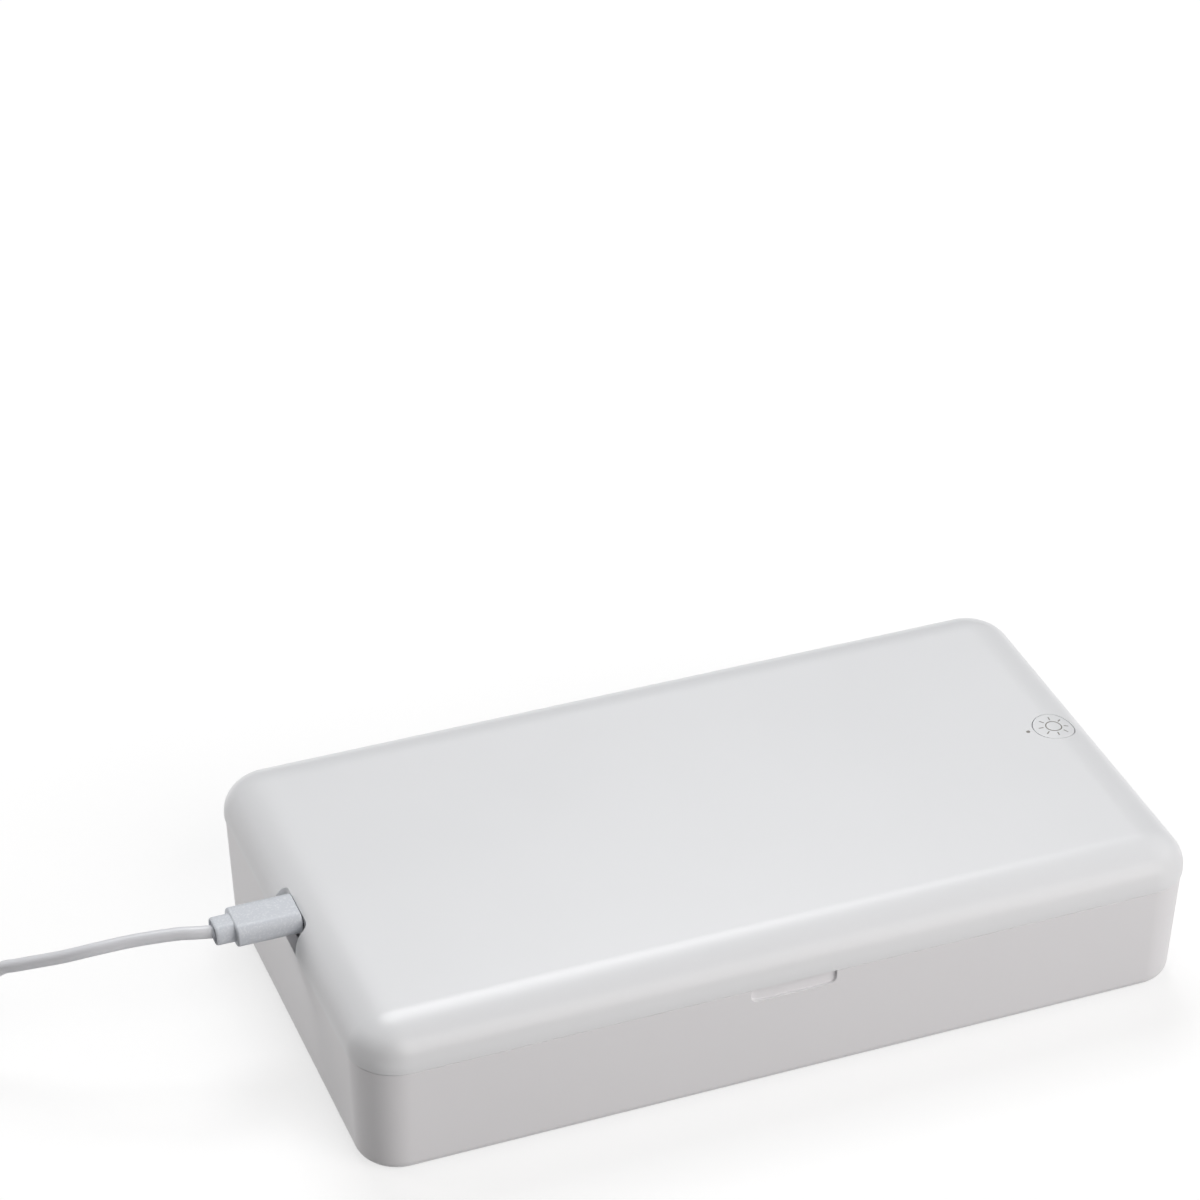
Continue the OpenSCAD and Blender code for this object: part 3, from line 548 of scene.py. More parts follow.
def finish_edges(piece, width_mm=0.0, angle=32):
    """Rounds what is still sharp and shades the faces smoothly, up to that angle."""
    weld(piece.data)
    if width_mm:
        step = piece.modifiers.new("edges", "BEVEL")
        step.width, step.segments, step.limit_method = width_mm * MM, 3, "ANGLE"
        step.angle_limit = math.radians(angle)
        bake(piece)
    mesh = piece.data
    for polygon in mesh.polygons:
        polygon.use_smooth = True
    mesh.set_sharp_from_angle(angle=math.radians(angle + 6))
    step = piece.modifiers.new("shading", "WEIGHTED_NORMAL")
    step.keep_sharp, step.weight = True, 60
    bake(piece)


print("tools ready")

# %% [markdown]
# Seen from the side, the lid's edge is a straight band, then a tight curve over the shoulder, then a wide
# curve that fades into the flat top. A fine groove just above the rim draws the dark line where lid and tray
# meet. The notch for the plug is cut with flanks that round inward and then flare out. A wall stands behind
# the notch, and the button and its little lamp have round holes.

# %% The lid
DOME_STEPS, FLAT_U = 14, 0.05
LID_H, LID_SIDE = TOP_Z - RIM_Z, 1.2
SHOULDER_Z = RIM_Z + LID_SIDE
ARC_RUN = CORNER - FLAT_U
SINE_60 = math.sin(math.radians(60))
TIGHT_R = (LID_H - LID_SIDE - 2 * ARC_RUN * (1 - SINE_60)) / (2 * SINE_60 - 1)
WIDE_R = 2 * ARC_RUN - TIGHT_R
WIDE_Z = SHOULDER_Z + SINE_60 * TIGHT_R - SINE_60 * WIDE_R
UNDER_DOME, OVER_TOP = 30, 45


def dome_line(inset, from_z=0.0):
    """Points of the dome's curve, set in by inset, from the shoulder or from_z up to the flat top."""
    tight, wide = TIGHT_R - inset, WIDE_R - inset
    made = []
    for k in range(DOME_STEPS + 1):
        a = math.radians(60 * k / DOME_STEPS)
        made.append((CORNER - TIGHT_R + tight * math.cos(a), SHOULDER_Z + tight * math.sin(a)))
    for k in range(1, DOME_STEPS + 1):
        a = math.radians(60 + 30 * k / DOME_STEPS)
        made.append((FLAT_U + wide * math.cos(a), WIDE_Z + wide * math.sin(a)))
    return [p for p in made if p[1] > from_z + 0.2]


def dome_z(x, y):
    """Height of the dome's top over a point that is nearer to an end than to a side."""
    u = abs(x) - (HALF_L - CORNER)
    if u <= FLAT_U:
        return TOP_Z
    if u < CORNER - TIGHT_R / 2:
        return WIDE_Z + math.sqrt(WIDE_R ** 2 - (u - FLAT_U) ** 2)
    return SHOULDER_Z + math.sqrt(max(0.0, TIGHT_R ** 2 - (u - CORNER + TIGHT_R) ** 2))


def notch_outline(grow, flare):
    """The notch from above, larger by grow all round; its flanks flare out at the wall or run straight."""
    w, d, x = NOTCH_W / 2 + grow, NOTCH_D + grow - NOTCH_R, -HALF_L
    side = arc(x + d, w - NOTCH_R, NOTCH_R, 0, 90)
    if flare:
        side += arc(x + d, w + NOTCH_R, NOTCH_R, -90, -180)[1:] + [(x - 1, w + NOTCH_R)]
    else:
        side += [(x - 1, w)]
    return side + [(px, -py) for px, py in reversed(side)]


def circle(r, sides, x=0.0, y=0.0):
    angles = [2 * math.pi * k / sides for k in range(sides)]
    return [(x + r * math.cos(a), y + r * math.sin(a)) for a in angles]


def rod(x, y, d, low, high, sides=72):
    return prism(circle(d / 2, sides, x, y), low, high)


def turned(verts, faces, matrix):
    return [matrix @ Vector(v) for v in verts], faces


rebate_z, seam_z = RIM_Z + REBATE_H, RIM_Z + SEAM_H
inner_wall = [(0, TOP_Z - DOME_T)] + list(reversed(dome_line(DOME_T, rebate_z)))
step_u, land_u, seam_u = inner_wall[-1][0] + 0.1, CORNER - LAND_W, CORNER - SEAM_D
rim = rounded([(step_u, rebate_z, 0), (land_u, rebate_z, 0.1), (land_u, RIM_Z, 0.1), (seam_u, RIM_Z, 0),
               (seam_u, seam_z, 0), (CORNER, seam_z, 0.06), (CORNER, SHOULDER_Z, 0)])[1:-1]
lid = new_piece("lid_dome", *loft(inner_wall + [(step_u, rebate_z)] + rim + dome_line(0) + [(0, TOP_Z)]),
                lid_plastic)
weld(lid.data)
block = prism(notch_outline(NOTCH_T, False), RIM_Z, OVER_TOP)
inside = [(0, RIM_Z), (seam_u, RIM_Z)] + dome_line(SEAM_D) + [(0, TOP_Z - SEAM_D)]
cut(block, [shape(*loft(inside))], "INTERSECT")
cut(lid, [block], "UNION")
cut(lid, [prism(notch_outline(0, True), RIM_Z - 3, OVER_TOP)])
along_x = Matrix.Rotation(math.radians(90), 4, "Z") @ Matrix.Rotation(math.radians(90), 4, "X")
to_port = Matrix.Translation((0, 0, PORT_Z)) @ along_x
cut(lid, [shape(*turned(*extrude(slab(PORT_W, PORT_H, PORT_R), -HALF_L, PORT_L - HALF_L), to_port))])
finish_edges(lid, 0.14)
button_hole = rod(BUTTON_X, 0, BUTTON_D + 2 * BUTTON_GAP, UNDER_DOME, OVER_TOP)
cut(lid, [button_hole, rod(PIPE_X, 0, PIPE_D, UNDER_DOME, OVER_TOP, 24)])
finish_edges(lid, 0)
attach(lid, "lid")
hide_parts("lid_shell")
print("lid", len(lid.data.polygons), "faces")

# %% [markdown]
# ## The tray
# The tray's walls lean in by two and a half degrees toward the bottom, so that it comes out of its mould.
# Three shallow recesses under the rim let a finger lift the lid: front, back and at the button's end.

# %% The tray
RECESS_W, RECESS_H, RECESS_D, RECESS_R = 19.5, 3.2, 0.8, 1.4
SHELF_L, SHELF_W, SHELF_TOP, SHELF_T = 7.8, 18.0, RIM_Z - 2.5, 3.0
TONGUE_R = 2.5
inside_z = FLOOR_Z + TRAY_FLOOR
low_u = RIM_U - DRAFT * (RIM_Z - FLOOR_Z)
inside_u = RIM_U - TRAY_WALL - DRAFT * (RIM_Z - inside_z)
tray_profile = rounded([(0, FLOOR_Z, 0), (low_u, FLOOR_Z, 2.6), (RIM_U, RIM_Z, 0.2),
                        (RIM_U - TRAY_WALL, RIM_Z, 0.35), (inside_u, inside_z, 6.2), (0, inside_z, 0)], 8)
tray = new_piece("tray_shell", *loft(tray_profile), tray_plastic)
weld(tray.data)


def recess(angle, reach):
    """The cutter of a finger recess in the wall that stands at reach, at that angle round Z."""
    side, low = RECESS_W / 2, RIM_Z - RECESS_H + RECESS_R
    outline = arc(side - RECESS_R, low, RECESS_R, -90, 0) + [(side, RIM_Z + 1), (-side, RIM_Z + 1)]
    outline += arc(RECESS_R - side, low, RECESS_R, 180, 270)
    upright = Matrix.Rotation(math.radians(angle), 4, "Z") @ Matrix.Rotation(math.radians(90), 4, "X")
    return shape(*turned(*extrude(outline, reach - RECESS_D, reach + 1), upright))


def tongue(back, front, width, steps):
    """A flat outline from x = back to x = front, where its two corners are round."""
    axis_x, axis_y = front - TONGUE_R, width / 2 - TONGUE_R
    corners = arc(axis_x, -axis_y, TONGUE_R, -90, 0, steps) + arc(axis_x, axis_y, TONGUE_R, 0, 90, steps)
    return [(back, -width / 2)] + corners + [(back, width / 2)]


shelf = tongue(-HALF_L + 2, -HALF_L + RIM_IN + TRAY_WALL + SHELF_L, SHELF_W, 6)
key = slab(3, 1.8, 0.3, KEY_X, 0, 3)
cut(tray, [prism(shelf, SHELF_TOP - SHELF_T, SHELF_TOP), prism(key, SHELF_TOP - 1, RIM_Z - 0.5)], "UNION")
cut(tray, [recess(0, HALF_W - RIM_IN), recess(180, HALF_W - RIM_IN), recess(90, HALF_L - RIM_IN)])
for x, y in FOOT_SPOTS:
    cut(tray, [rod(x, y, FOOT_D + 0.2, -1, FOOT_T, 48)])
finish_edges(tray, 0.16)
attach(tray, "base")
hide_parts("base_tray")
print("tray", len(tray.data.polygons), "faces")

# %% [markdown]
# ## Things that repeat
# The snap ledges under the lid's rim and the feet are the same small piece many times. One Geometry Nodes
# tree puts an item on each point of a mesh and turns it by the point's `turn`.


# %% Things that repeat
def empty_tree(name, inputs, output):
    """A Geometry Nodes tree with named inputs and one named output, and its two end nodes."""
    tree = bpy.data.node_groups.new(name, "GeometryNodeTree")
    for label, kind in inputs.items():
        tree.interface.new_socket(label, in_out="INPUT", socket_type="NodeSocket" + kind)
    tree.interface.new_socket(output, in_out="OUTPUT", socket_type="NodeSocketGeometry")
    return tree, tree.nodes.new("NodeGroupInput"), tree.nodes.new("NodeGroupOutput")


def wire(tree, rows):
    """Joins nodes; each row is a node, its output, the next node and its input."""
    for giver, output, taker, socket in rows:
        tree.links.new(giver.outputs[output], taker.inputs[socket])


def run_tree(piece, tree, values):
    """Runs the tree on the piece's mesh, with its inputs set by identifier, and bakes the outcome."""
    step = piece.modifiers.new(tree.name, "NODES")
    step.node_group = tree
    names = {row.name: row.identifier for row in tree.interface.items_tree if row.in_out == "INPUT"}
    for label, value in values.items():
        step[names[label]] = value
    bake(piece)


def placing_tree():
    inputs = {"Spots": "Geometry", "Item": "Object", "Finish": "Material"}
    tree, start, end = empty_tree("place_items", inputs, "Pieces")
    add = tree.nodes.new
    spots, place = add("GeometryNodeMeshToPoints"), add("GeometryNodeInstanceOnPoints")
    turn_by, spin = add("GeometryNodeInputNamedAttribute"), add("ShaderNodeCombineXYZ")
    turn_by.data_type = "FLOAT"
    turn_by.inputs["Name"].default_value = "turn"
    item, real = add("GeometryNodeObjectInfo"), add("GeometryNodeRealizeInstances")
    coat = add("GeometryNodeSetMaterial")
    wire(tree, (
        (start, "Spots", spots, "Mesh"),
        (start, "Item", item, "Object"),
        (turn_by, "Attribute", spin, "Z"),
        (spots, "Points", place, "Points"),
        (item, "Geometry", place, "Instance"),
        (spin, "Vector", place, "Rotation"),
        (place, "Instances", real, "Geometry"),
        (real, "Geometry", coat, "Geometry"),
        (start, "Finish", coat, "Material"),
        (coat, "Geometry", end, "Pieces")))
    return tree


PLACING = placing_tree()


def place_items(name, item, spots, material):
    """One piece that holds a copy of item at every (x, y, z, turn) of spots."""
    piece = new_piece(name, [q[:3] for q in spots], [], material)
    turns_at = piece.data.attributes.new("turn", "FLOAT", "POINT")
    turns_at.data.foreach_set("value", [math.radians(q[3]) for q in spots])
    run_tree(piece, PLACING, {"Item": item, "Finish": material})
    bpy.data.objects.remove(item)
    return piece


LEDGE_L, LEDGE_D, LEDGE_T, LEDGE_PITCH, LEDGE_Z = 11, 1.1, 0.7, 36.5, RIM_Z + 0.3
ledge = prism(slab(LEDGE_L, LEDGE_D, 0.3, 0, -LEDGE_D / 2, 3), 0, LEDGE_T)
finish_edges(ledge, 0.12)
long_y, end_x = HALF_W - LAND_W + 0.4, HALF_L - LAND_W + 0.4
ledge_spots = [(LEDGE_PITCH * i, s * long_y, LEDGE_Z, 90 - 90 * s) for i in range(-2, 3) for s in SIDES]
ledge_spots += [(s * end_x, j * HALF_W / 2, LEDGE_Z, -90 * s) for j in SIDES for s in SIDES]
ledges = place_items("snap_ledges", ledge, ledge_spots, lid_plastic)
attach(ledges, "lid")

foot = rod(0, 0, FOOT_D, 0, FOOT_T, 48)
finish_edges(foot, 0.25)
feet = place_items("foot_set", foot, [(x, y, 0, 0) for x, y in FOOT_SPOTS], foot_rubber)
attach(feet, "base")
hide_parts("foot_pads")
print("ledges", len(ledge_spots), "feet", len(FOOT_SPOTS))

# %% [markdown]
# ## The inner cover and its lamps
# The cover closes the lid from below. Its lip hangs into the tray, its raised pad stands over the key, and
# each lamp looks out of a window with sloped sides.

# %% The inner cover
LAMP_X = [34.8 * (i - 1.5) for i in range(4)]
PAD_OUTER, PAD_INNER, PAD_W = -90.9, -HALF_L + 13.6, 20.0
BOSS_X, BOSS_Y, BOSS_D = (-77.3, -66.4), 12.5, 4.0
WINDOW_MOUTH, WINDOW_HOLE = 8.6, 3.8
UNDER_COVER, OVER_COVER = 20, 32
lip_inner, lip_outer, edge_u = CORNER - LIP_IN - LIP_T, CORNER - LIP_IN, CORNER - LAND_W - 0.2
lip_z, groove_z = RIM_Z - LIP_H, RIM_Z + GROOVE_D
cover_profile = rounded([(0, RIM_Z, 0), (lip_inner, RIM_Z, 0.3), (lip_inner, lip_z, 0.45),
                         (lip_outer, lip_z, 0.45), (lip_outer, groove_z, 0.2), (edge_u, groove_z, 0.15),
                         (edge_u, PLATE_TOP, 0.15), (0, PLATE_TOP, 0)])
cover = new_piece("cover_panel", *loft(cover_profile), cover_plastic)
weld(cover.data)
pad = prism(tongue(PAD_OUTER, PAD_INNER, PAD_W, 8), RIM_Z - 1.8, RIM_Z + 0.4)
bosses = [rod(x, s * BOSS_Y, BOSS_D, PLATE_TOP - 0.3, PLATE_TOP + 1, 32) for x in BOSS_X for s in SIDES]
cut(cover, [pad, *bosses], "UNION")


def window(x):
    """The cutter of a lamp's window: a sloped mouth and a straight square hole."""
    rows = [(WINDOW_MOUTH, RIM_Z - 1), (WINDOW_HOLE, RIM_Z + 1), (WINDOW_HOLE, PLATE_TOP + 1)]
    square = ((-1, -1), (1, -1), (1, 1), (-1, 1))
    return shape(*skin([[(x + a * w / 2, b * w / 2, z) for a, b in square] for w, z in rows]))


end_gap = [(x, y * PAD_W / 2) for x, y in ((-97, -1), (PAD_OUTER, -1), (PAD_OUTER, 1), (-97, 1))]
cut(cover, [prism(end_gap, UNDER_COVER, OVER_COVER)] + [window(x) for x in LAMP_X])
key_slot, switch_seat = slab(3.6, 2.4, 0.3, KEY_X, 0, 3), slab(5, 4.2, 0.2, KEY_X, 0, 2)
cut(cover, [prism(key_slot, UNDER_COVER, OVER_COVER), prism(switch_seat, PLATE_TOP - 0.9, OVER_COVER)])
cut(cover, [prism(slab(2.4, 3, 0.3, KEY_X, y, 3), UNDER_COVER, OVER_COVER) for y in (-4.5, 4.5)])
finish_edges(cover, 0.16)
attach(cover, "lid")
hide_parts("inner_cover")
print("cover", len(cover.data.polygons), "faces")

# %% [markdown]
# Each lamp is a square package with metal round a shallow cup. The two outer lamps carry a quartz lens; the
# two inner ones have a flat soft filling. A lens is glass, so its shader lets most of the light through.

# %% Lamps
LAMP_W, LAMP_T, CUP_D, CUP_T = 3.5, 0.8, 2.7, 0.55
glass = Finish("quartz")
clear = glass.mix(glass.noise(0.5), (0.95, 0.93, 0.86), (1.0, 0.99, 0.95))
quartz = glass.surface(Base_Color=clear, Roughness=0.05, IOR=1.46, Transmission_Weight=0.85)
filling = plain_part("filling", (244, 232, 176), 0.3, 0.4)


def pole_skin(pole, rings):
    """A closed skin that starts at one point and goes over the rings; the last ring is filled."""
    n = len(rings[0])
    verts, faces = skin(rings)
    faces.remove(tuple(reversed(range(n))))
    return verts + [pole], faces + [(len(verts), (k + 1) % n, k) for k in range(n)]


def dome(x, z, radius, height, steps=10, sides=40):
    """A closed cap that bulges downward from z."""
    angles = [math.pi / 2 * i / steps for i in range(1, steps + 1)]
    rings = [[(*spot, z - height * math.cos(a)) for spot in circle(radius * math.sin(a), sides, x)]
             for a in angles]
    return pole_skin((x, 0, z - height), rings)


def joined(name, pieces, material):
    """Several closed meshes as one piece."""
    verts, faces = [], []
    for v, f in pieces:
        faces += [tuple(i + len(verts) for i in face) for face in f]
        verts += list(v)
    return new_piece(name, verts, faces, material)


def package(x):
    """Body of a lamp: a rounded square block with a round cup in its lower face."""
    block, face = (slab(w, w, 0.3, x, 0, 9) for w in (LAMP_W, LAMP_W - 0.2))
    angles = [math.atan2(py, px - x) for px, py in face]
    cup = [(x + CUP_D / 2 * math.cos(a), CUP_D / 2 * math.sin(a)) for a in angles]
    rows = [(CUP_T, cup), (LAMP_T, cup), (LAMP_T, face), (LAMP_T - 0.1, block), (0, block)]
    return skin([[(px, py, PLATE_TOP - depth) for px, py in outline] for depth, outline in rows])


def lamp_pieces(name, spots, lens, looks, nodes, slots):
    """Bodies and lenses of the lamps at spots; each pair says what the body has, then what the lens has. The
    pair in slots is not used.
    """
    body = joined(name, [package(x) for x in spots], looks[0])
    lenses = joined(name + "_lens", [dome(x, PLATE_TOP - CUP_T - 0.01, *lens) for x in spots], looks[1])
    for piece, node, slot in zip((body, lenses), nodes, slots):
        finish_edges(piece, 0)
        if node:
            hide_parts(node)
        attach(piece, "lid")


lamp_pieces("outer_lamps", (LAMP_X[0], LAMP_X[3]), (1.15, 0.95), (gold, quartz), ("uvc_lamps", "uvc_lenses"),
            ("gold_lamp", "quartz"))
lamp_pieces("inner_lamps", LAMP_X[1:3], (1.3, 0.3), (ceramic, filling), ("uva_lamps", None),
            ("white_lamp", "white_lamp"))
print("lamps at", LAMP_X)

# %% [markdown]
# ## The button
# The cap's top follows the dome, so it is made on a polar grid whose heights come from the dome's formula.
# The sun mark is a flat drawing, one ring and one ray. Geometry Nodes turns the ray eight times and drops
# every point on the cap by a ray cast, so the lines lie on the curve.

# %% The button
CAP_R, CAP_EDGE, FLANGE_R, CAP_Z, FLANGE_T = BUTTON_D / 2 - 0.04, 0.05, 5.8, 32.55, 0.7


def cap_mesh(sides=96, rings=14):
    """The cap from its middle outward: the domed top, a small round edge, the side and the flange."""
    flat = CAP_R - CAP_EDGE
    edge = [math.pi / 10 * k for k in range(1, 6)]
    top = [(flat * i / rings, 0) for i in range(1, rings + 1)]
    top += [(flat + CAP_EDGE * math.sin(a), CAP_EDGE * (1 - math.cos(a))) for a in edge]
    rows = [[(x, y, dome_z(x, y) - drop) for x, y in circle(r, sides, BUTTON_X)] for r, drop in top]
    for r, z in ((CAP_R, CAP_Z + FLANGE_T), (FLANGE_R, CAP_Z + FLANGE_T), (FLANGE_R, CAP_Z)):
        rows.append([(x, y, z) for x, y in circle(r, sides, BUTTON_X)])
    return pole_skin((BUTTON_X, 0, dome_z(BUTTON_X, 0)), rows)


cap = new_piece("button_dome", *cap_mesh(), lid_plastic)
finish_edges(cap, 0)
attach(cap, "button")
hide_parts("button_cap")

mark_ink = plain_part("mark_ink", (126, 121, 114), 0.5, 0.6)
SUN_R, SUN_LINE, SUN_SIDES, SUN_TURN = 1.8, 0.26, 96, math.radians(-5)
RAY_FROM, RAY_TO, RAY_STEPS, RAYS = 2.45, 3.6, 6, 8
ring_verts = [(x, y, 0) for s in (1, -1) for x, y in circle(SUN_R + s * SUN_LINE / 2, SUN_SIDES)]
after = [(k + 1) % SUN_SIDES for k in range(SUN_SIDES)]
ring_faces = [(k, after[k], SUN_SIDES + after[k], SUN_SIDES + k) for k in range(SUN_SIDES)]
ray_x = [RAY_FROM + (RAY_TO - RAY_FROM) * i / RAY_STEPS for i in range(RAY_STEPS + 1)]
ray_verts = [(x, s * SUN_LINE / 2, 0) for x in ray_x for s in SIDES]
ray_faces = [(2 * i, 2 * i + 2, 2 * i + 3, 2 * i + 1) for i in range(RAY_STEPS)]


def mark_tree():
    inputs = {"Ring": "Geometry", "Ray": "Object", "Surface": "Object", "Rays": "Int", "Centre": "Vector",
              "Lift": "Float", "Finish": "Material"}
    tree, start, end = empty_tree("sun_mark", inputs, "Mark")
    add = tree.nodes.new
    spots, index = add("GeometryNodeMeshLine"), add("GeometryNodeInputIndex")
    spots.inputs["Offset"].default_value = (0, 0, 0)
    spin, turned_by, share = (add("ShaderNodeMath") for _ in range(3))
    spin.operation, turned_by.inputs[1].default_value = "MULTIPLY", SUN_TURN
    share.operation, share.inputs[0].default_value = "DIVIDE", 2 * math.pi
    fan, lift = add("ShaderNodeCombineXYZ"), add("ShaderNodeCombineXYZ")
    ray, target = add("GeometryNodeObjectInfo"), add("GeometryNodeObjectInfo")
    place, both = add("GeometryNodeInstanceOnPoints"), add("GeometryNodeJoinGeometry")
    real, coat = add("GeometryNodeRealizeInstances"), add("GeometryNodeSetMaterial")
    move, drop = add("GeometryNodeSetPosition"), add("GeometryNodeSetPosition")
    where, cast = add("GeometryNodeInputPosition"), add("GeometryNodeRaycast")
    cast.inputs["Ray Direction"].default_value = (0, 0, -1)
    wire(tree, (
        (start, "Rays", spots, "Count"),
        (start, "Rays", share, 1),
        (index, 0, spin, 0),
        (share, 0, spin, 1),
        (spin, 0, turned_by, 0),
        (turned_by, 0, fan, "Z"),
        (start, "Ray", ray, "Object"),
        (spots, "Mesh", place, "Points"),
        (ray, "Geometry", place, "Instance"),
        (fan, 0, place, "Rotation"),
        (start, "Ring", both, 0),
        (place, 0, both, 0),
        (both, 0, real, 0),
        (real, 0, move, "Geometry"),
        (start, "Centre", move, "Offset"),
        (start, "Surface", target, "Object"),
        (target, "Geometry", cast, "Target Geometry"),
        (where, 0, cast, "Source Position"),
        (cast, "Hit Position", drop, "Position"),
        (start, "Lift", lift, "Z"),
        (lift, 0, drop, "Offset"),
        (move, 0, drop, "Geometry"),
        (drop, 0, coat, "Geometry"),
        (start, "Finish", coat, "Material"),
        (coat, 0, end, "Mark")))
    return tree


ray_item = new_piece("cutter", ray_verts, ray_faces, mark_ink)
mark = new_piece("sun_mark", ring_verts, ring_faces, mark_ink)
run_tree(mark, mark_tree(), {"Ray": ray_item, "Surface": cap, "Rays": RAYS, "Lift": 0.006 * MM,
                             "Centre": (BUTTON_X * MM, 0.0, 50 * MM), "Finish": mark_ink})
thick = mark.modifiers.new("thickness", "SOLIDIFY")
thick.thickness, thick.offset = 0.04 * MM, -1
bake(mark)
bpy.data.objects.remove(ray_item)
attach(mark, "button")
print("mark", len(mark.data.polygons), "faces, top", round(max(v.co.z for v in mark.data.vertices) / MM, 2))

# %% [markdown]
# ## The plugs
# Both grips are moulded over the cord: soft edges all round, a shoulder that slants in to a short collar.
# A grip is a stack of rounded rectangles along its length, each one set in by a little at the ends.


# %% The plugs
PLUG_L, PLUG_W, PLUG_H, PLUG_R, PLUG_BACK = 14.4, 10.3, 5.3, 2.3, -107.4
COLLAR_W, COLLAR_H, COLLAR_R = 6.8, 4.7, 2.1
TIP_L, TIP_W, TIP_H, TIP_T = 12.0, 12.0, 4.5, 0.3
# How far the skin is set in: over a grip's shoulder, at a distance back from its front, and at a place along
# the collar.
SHOULDER, SHOULDER_L = (0.5, 0.3, 0.16, 0.06, 0.01, 0), 0.5
FRONT_EDGE = ((0.45, 0), (0.22, 0.05), (0.07, 0.16), (0, 0.4))
SLEEVE = ((-111.0, 2.2), (-111.0, 0.75), (-111.35, 0.62), (-111.5, 0.42), (-111.44, 0.2), (-111.25, 0.06),
          (-110.9, 0), (-109.2, 0), (-107.5, -0.02), (-106.9, -0.02))


def stack(rows, width, height, r, least, matrix):
    """A skin over rounded rectangles along Z, one for each (z, inset) of rows, moved by matrix."""
    outlines = [(z, slab(width - 2 * i, height - 2 * i, max(least, r - i))) for z, i in rows]
    return skin([[matrix @ Vector((x, y, z)) for x, y in outline] for z, outline in outlines])


def grip_rows(length, start=0.0):
    """The (z, inset) rows of a grip from its collar end to its front."""
    rows = [(SHOULDER_L * (k / (len(SHOULDER) - 1)) ** 1.2, inset) for k, inset in enumerate(SHOULDER)]
    rows += [(length * share, 0) for share in (0.3, 0.5, 0.7)]
    rows += [(length - back, inset) for back, inset in FRONT_EDGE]
    return [(z + start, inset) for z, inset in rows]


grip_skin = stack(grip_rows(PLUG_L, PLUG_BACK), PLUG_W, PLUG_H, PLUG_R, 0.4, to_port)
grip = new_piece("plug_grip", *grip_skin, plug_plastic)
collar_skin = stack(SLEEVE, COLLAR_W, COLLAR_H, COLLAR_R, 0.1, to_port)
collar = new_piece("plug_sleeve", *collar_skin, plug_plastic)
along_y = Matrix.Rotation(math.radians(-90), 4, "X")
far_way = Matrix.Translation((FAR_X, FAR_Y, FAR_H / 2)) @ along_y
far_skin = stack(grip_rows(FAR_L), FAR_W, FAR_H, 2.4, 0.4, far_way)
far_grip = new_piece("far_grip", *far_skin, plug_plastic)
for piece, node in ((grip, "plug_moulding"), (collar, "plug_collar"), (far_grip, "far_moulding")):
    finish_edges(piece, 0)
    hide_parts(node)

to_tip = Matrix.Translation((FAR_X, FAR_Y + FAR_L, FAR_H / 2)) @ along_y
far_tip = new_piece("far_tip", *turned(*extrude(slab(TIP_W, TIP_H, 0.35), 0, TIP_L), to_tip), steel)
weld(far_tip.data)
bore = slab(TIP_W - 2 * TIP_T, TIP_H - 2 * TIP_T, 0.2)
cut(far_tip, [shape(*turned(*extrude(bore, TIP_T, TIP_L + 1), to_tip))])
latches = [slab(2.4, 2.0, 0.2, FAR_X + s * 2.9, FAR_Y + FAR_L + 6.4, 2) for s in SIDES]
cut(far_tip, [prism(outline, FAR_H / 2 + 0.8, FAR_H + 0.4) for outline in latches])
finish_edges(far_tip, 0.06)
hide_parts("far_shell")
print("plugs", [len(o.data.polygons) for o in (grip, collar, far_grip, far_tip)])

# %% [markdown]
# ## The tie
# A short band of woven fabric holds the coil. It goes over the cords like a flat arch.

# %% The tie
TIE_W, TIE_OUT, TIE_IN, TIE_R, TIE_LOW = 7.2, 0.95, 0.12, 0.8, 0.06
weave = Finish("tie_fabric")
wave = {"Vector": weave.place(1 / MM), "Scale": 1.4, "Distortion": 1.2, "Detail": 2.0}
threads = weave.node("ShaderNodeTexWave", {"bands_direction": "DIAGONAL"}, wave)
cloth = weave.mix(threads, linear(30, 30, 32), linear(62, 62, 66))
tie_fabric = weave.surface(Base_Color=cloth, Roughness=0.85, Normal=weave.bump(threads, 0.6, 0.15))


def arch(grow):
    """A line over two layers of cord and down both sides, at a distance grow from them."""
    half, top, r = 2 * CORD_D + grow, 2 * CORD_D + 0.05 + grow, TIE_R + grow
    corners = arc(half - r, top - r, r, 0, 90, 8) + arc(r - half, top - r, r, 90, 180, 8)
    return [(half, TIE_LOW)] + corners + [(-half, TIE_LOW)]


band = arch(TIE_OUT) + list(reversed(arch(TIE_IN)))
over_coil = Matrix.Translation((COIL_X + COIL_OUT - 2 * CORD_D, COIL_Y + TIE_W / 2, 0))
across_y = over_coil @ Matrix.Rotation(math.radians(90), 4, "X")
tie = new_piece("tie_band", *turned(*extrude(band, 0, TIE_W), across_y), tie_fabric)
finish_edges(tie, 0.16)
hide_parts("coil_tie")
print("tie", len(tie.data.polygons), "faces")

# %% [markdown]
# ## Floor and light
# The floor and the air are plain white to the camera and to anything that shines or lets light through, and
# ordinary to everything else, so the picture has a white ground that still takes the box's shadow. Away from
# the box the floor turns into plain white light, so that a low view has no grey edge behind it.

# %% Floor and light
FLOOR_GREY, FLOOR_GLOW, FADE_FROM, FADE_TO = 0.34, 0.7, 0.3, 0.75
LAMP_DISTANCE = 1.4


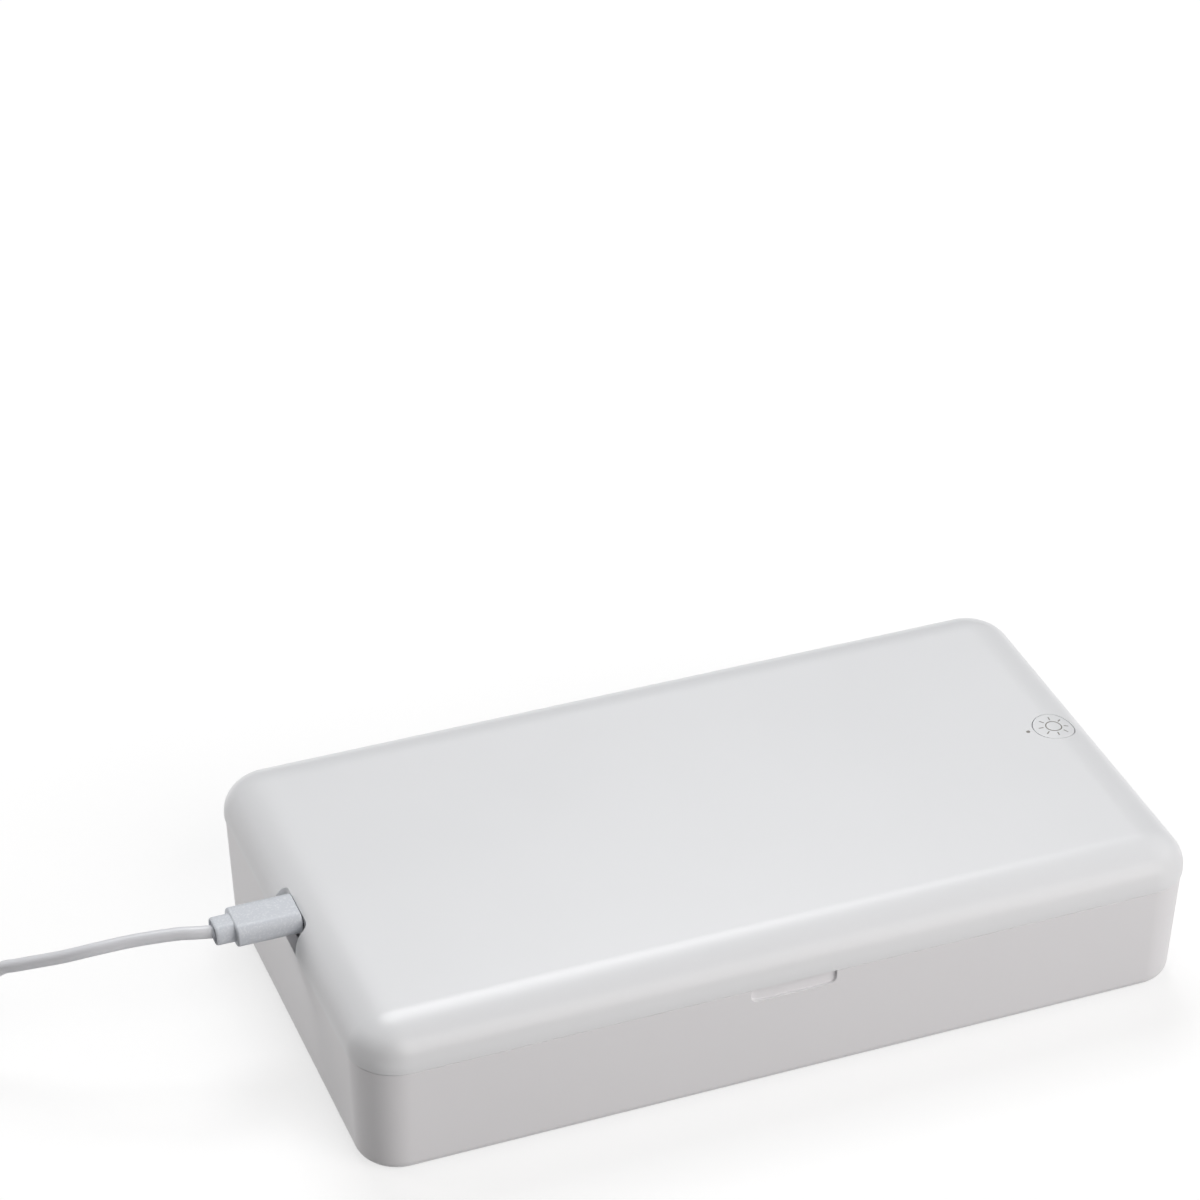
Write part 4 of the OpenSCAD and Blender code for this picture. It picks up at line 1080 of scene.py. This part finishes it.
def stage_floor():
    f = Finish("studio_floor")
    camera_ray = f.node("ShaderNodeLightPath", out="Is Camera Ray")
    paths = camera_ray.socket.node.outputs
    seen = camera_ray + Value(f, paths["Is Glossy Ray"]) + Value(f, paths["Is Transmission Ray"])
    white_light = {"Color": (1.0, 1.0, 1.0)}
    matt = f.node("ShaderNodeBsdfDiffuse", {}, {"Color": (FLOOR_GREY, FLOOR_GREY, FLOOR_GREY)})
    glow = f.node("ShaderNodeEmission", {}, {**white_light, "Strength": seen * FLOOR_GLOW})
    near = f.node("ShaderNodeAddShader", {}, {0: matt, 1: glow})
    away = f.node("ShaderNodeVectorMath", {"operation": "LENGTH"}, {0: f.place()}, out="Value")
    fade = f.node("ShaderNodeMapRange", {"interpolation_type": "SMOOTHSTEP"},
                  {"Value": away, "From Min": FADE_FROM, "From Max": FADE_TO})
    plain = f.node("ShaderNodeEmission", {}, {**white_light, "Strength": seen})
    ground = f.node("ShaderNodeMixShader", {}, {0: fade, 1: near, 2: plain})
    f.links.new(ground.socket, f.output.inputs["Surface"])
    mesh = bpy.data.meshes.new("studio_floor")
    mesh.from_pydata([(-6, -6, 0), (6, -6, 0), (6, 6, 0), (-6, 6, 0)], [], [(0, 1, 2, 3)])
    mesh.materials.append(f.material)
    floor = bpy.data.objects.new("studio_floor", mesh)
    bpy.context.scene.collection.objects.link(floor)


stage_floor()


def soft_lamp(name, azimuth, elevation, size, power, colour=(1, 1, 1), mirrored=True):
    """A square softbox on a sphere round the box; azimuth 0 is behind it, 90 at its right."""
    a, e = math.radians(azimuth), math.radians(elevation)
    away = Vector((math.sin(a) * math.cos(e), math.cos(a) * math.cos(e), math.sin(e)))
    lamp = bpy.data.objects.new(name, bpy.data.lights.new(name, "AREA"))
    lamp.data.shape, lamp.data.size = "SQUARE", size
    lamp.data.energy, lamp.data.color = power, colour
    aim = away.to_track_quat("Z", "Y").to_matrix().to_4x4()
    lamp.matrix_world = Matrix.Translation(away * LAMP_DISTANCE) @ aim
    lamp.visible_glossy = mirrored
    bpy.context.scene.collection.objects.link(lamp)


soft_lamp("key_above_back", 4, 61, 0.6, 8.0, (0.985, 1.0, 1.01))
soft_lamp("back_right", 28, 49, 0.35, 2.5)
soft_lamp("front", 163, 39, 1.1, 9.7, (1.025, 1.0, 0.985))
soft_lamp("right_low", 138, 12, 0.9, 8.0, (1.02, 1.0, 0.99), mirrored=False)
soft_lamp("left_back", 308, 12, 0.5, 6.4, (1.03, 1.0, 0.985), mirrored=False)
world = bpy.data.worlds.new("studio_air")
bpy.context.scene.world = world
world.use_nodes = True
air = world.node_tree.nodes
air.clear()
room, white = air.new("ShaderNodeBackground"), air.new("ShaderNodeBackground")
for light, strength in ((room, 0.1), (white, 1.0)):
    light.inputs["Color"].default_value = (1, 1, 1, 1)
    light.inputs["Strength"].default_value = strength
rays = air.new("ShaderNodeLightPath")
pick = air.new("ShaderNodeMixShader")
seen = air.new("ShaderNodeMath")
seen.operation = "MAXIMUM"
end = air.new("ShaderNodeOutputWorld")
wire(world.node_tree, (
    (rays, "Is Camera Ray", seen, 0),
    (rays, "Is Transmission Ray", seen, 1),
    (seen, 0, pick, "Fac"),
    (room, 0, pick, 1),
    (white, 0, pick, 2),
    (pick, 0, end, "Surface")))

bpy.context.scene.view_settings.view_transform = "Standard"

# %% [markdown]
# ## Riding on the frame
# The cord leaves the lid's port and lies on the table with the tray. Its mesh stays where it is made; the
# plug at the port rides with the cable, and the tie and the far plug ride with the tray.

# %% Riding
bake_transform(cord)

for piece in (tie, far_grip, far_tip):
    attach(piece, "base")
for piece in (grip, collar):
    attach(piece, "cable")
print("cord", round(cord_length / 1000, 3), "m between the lid and the tray")
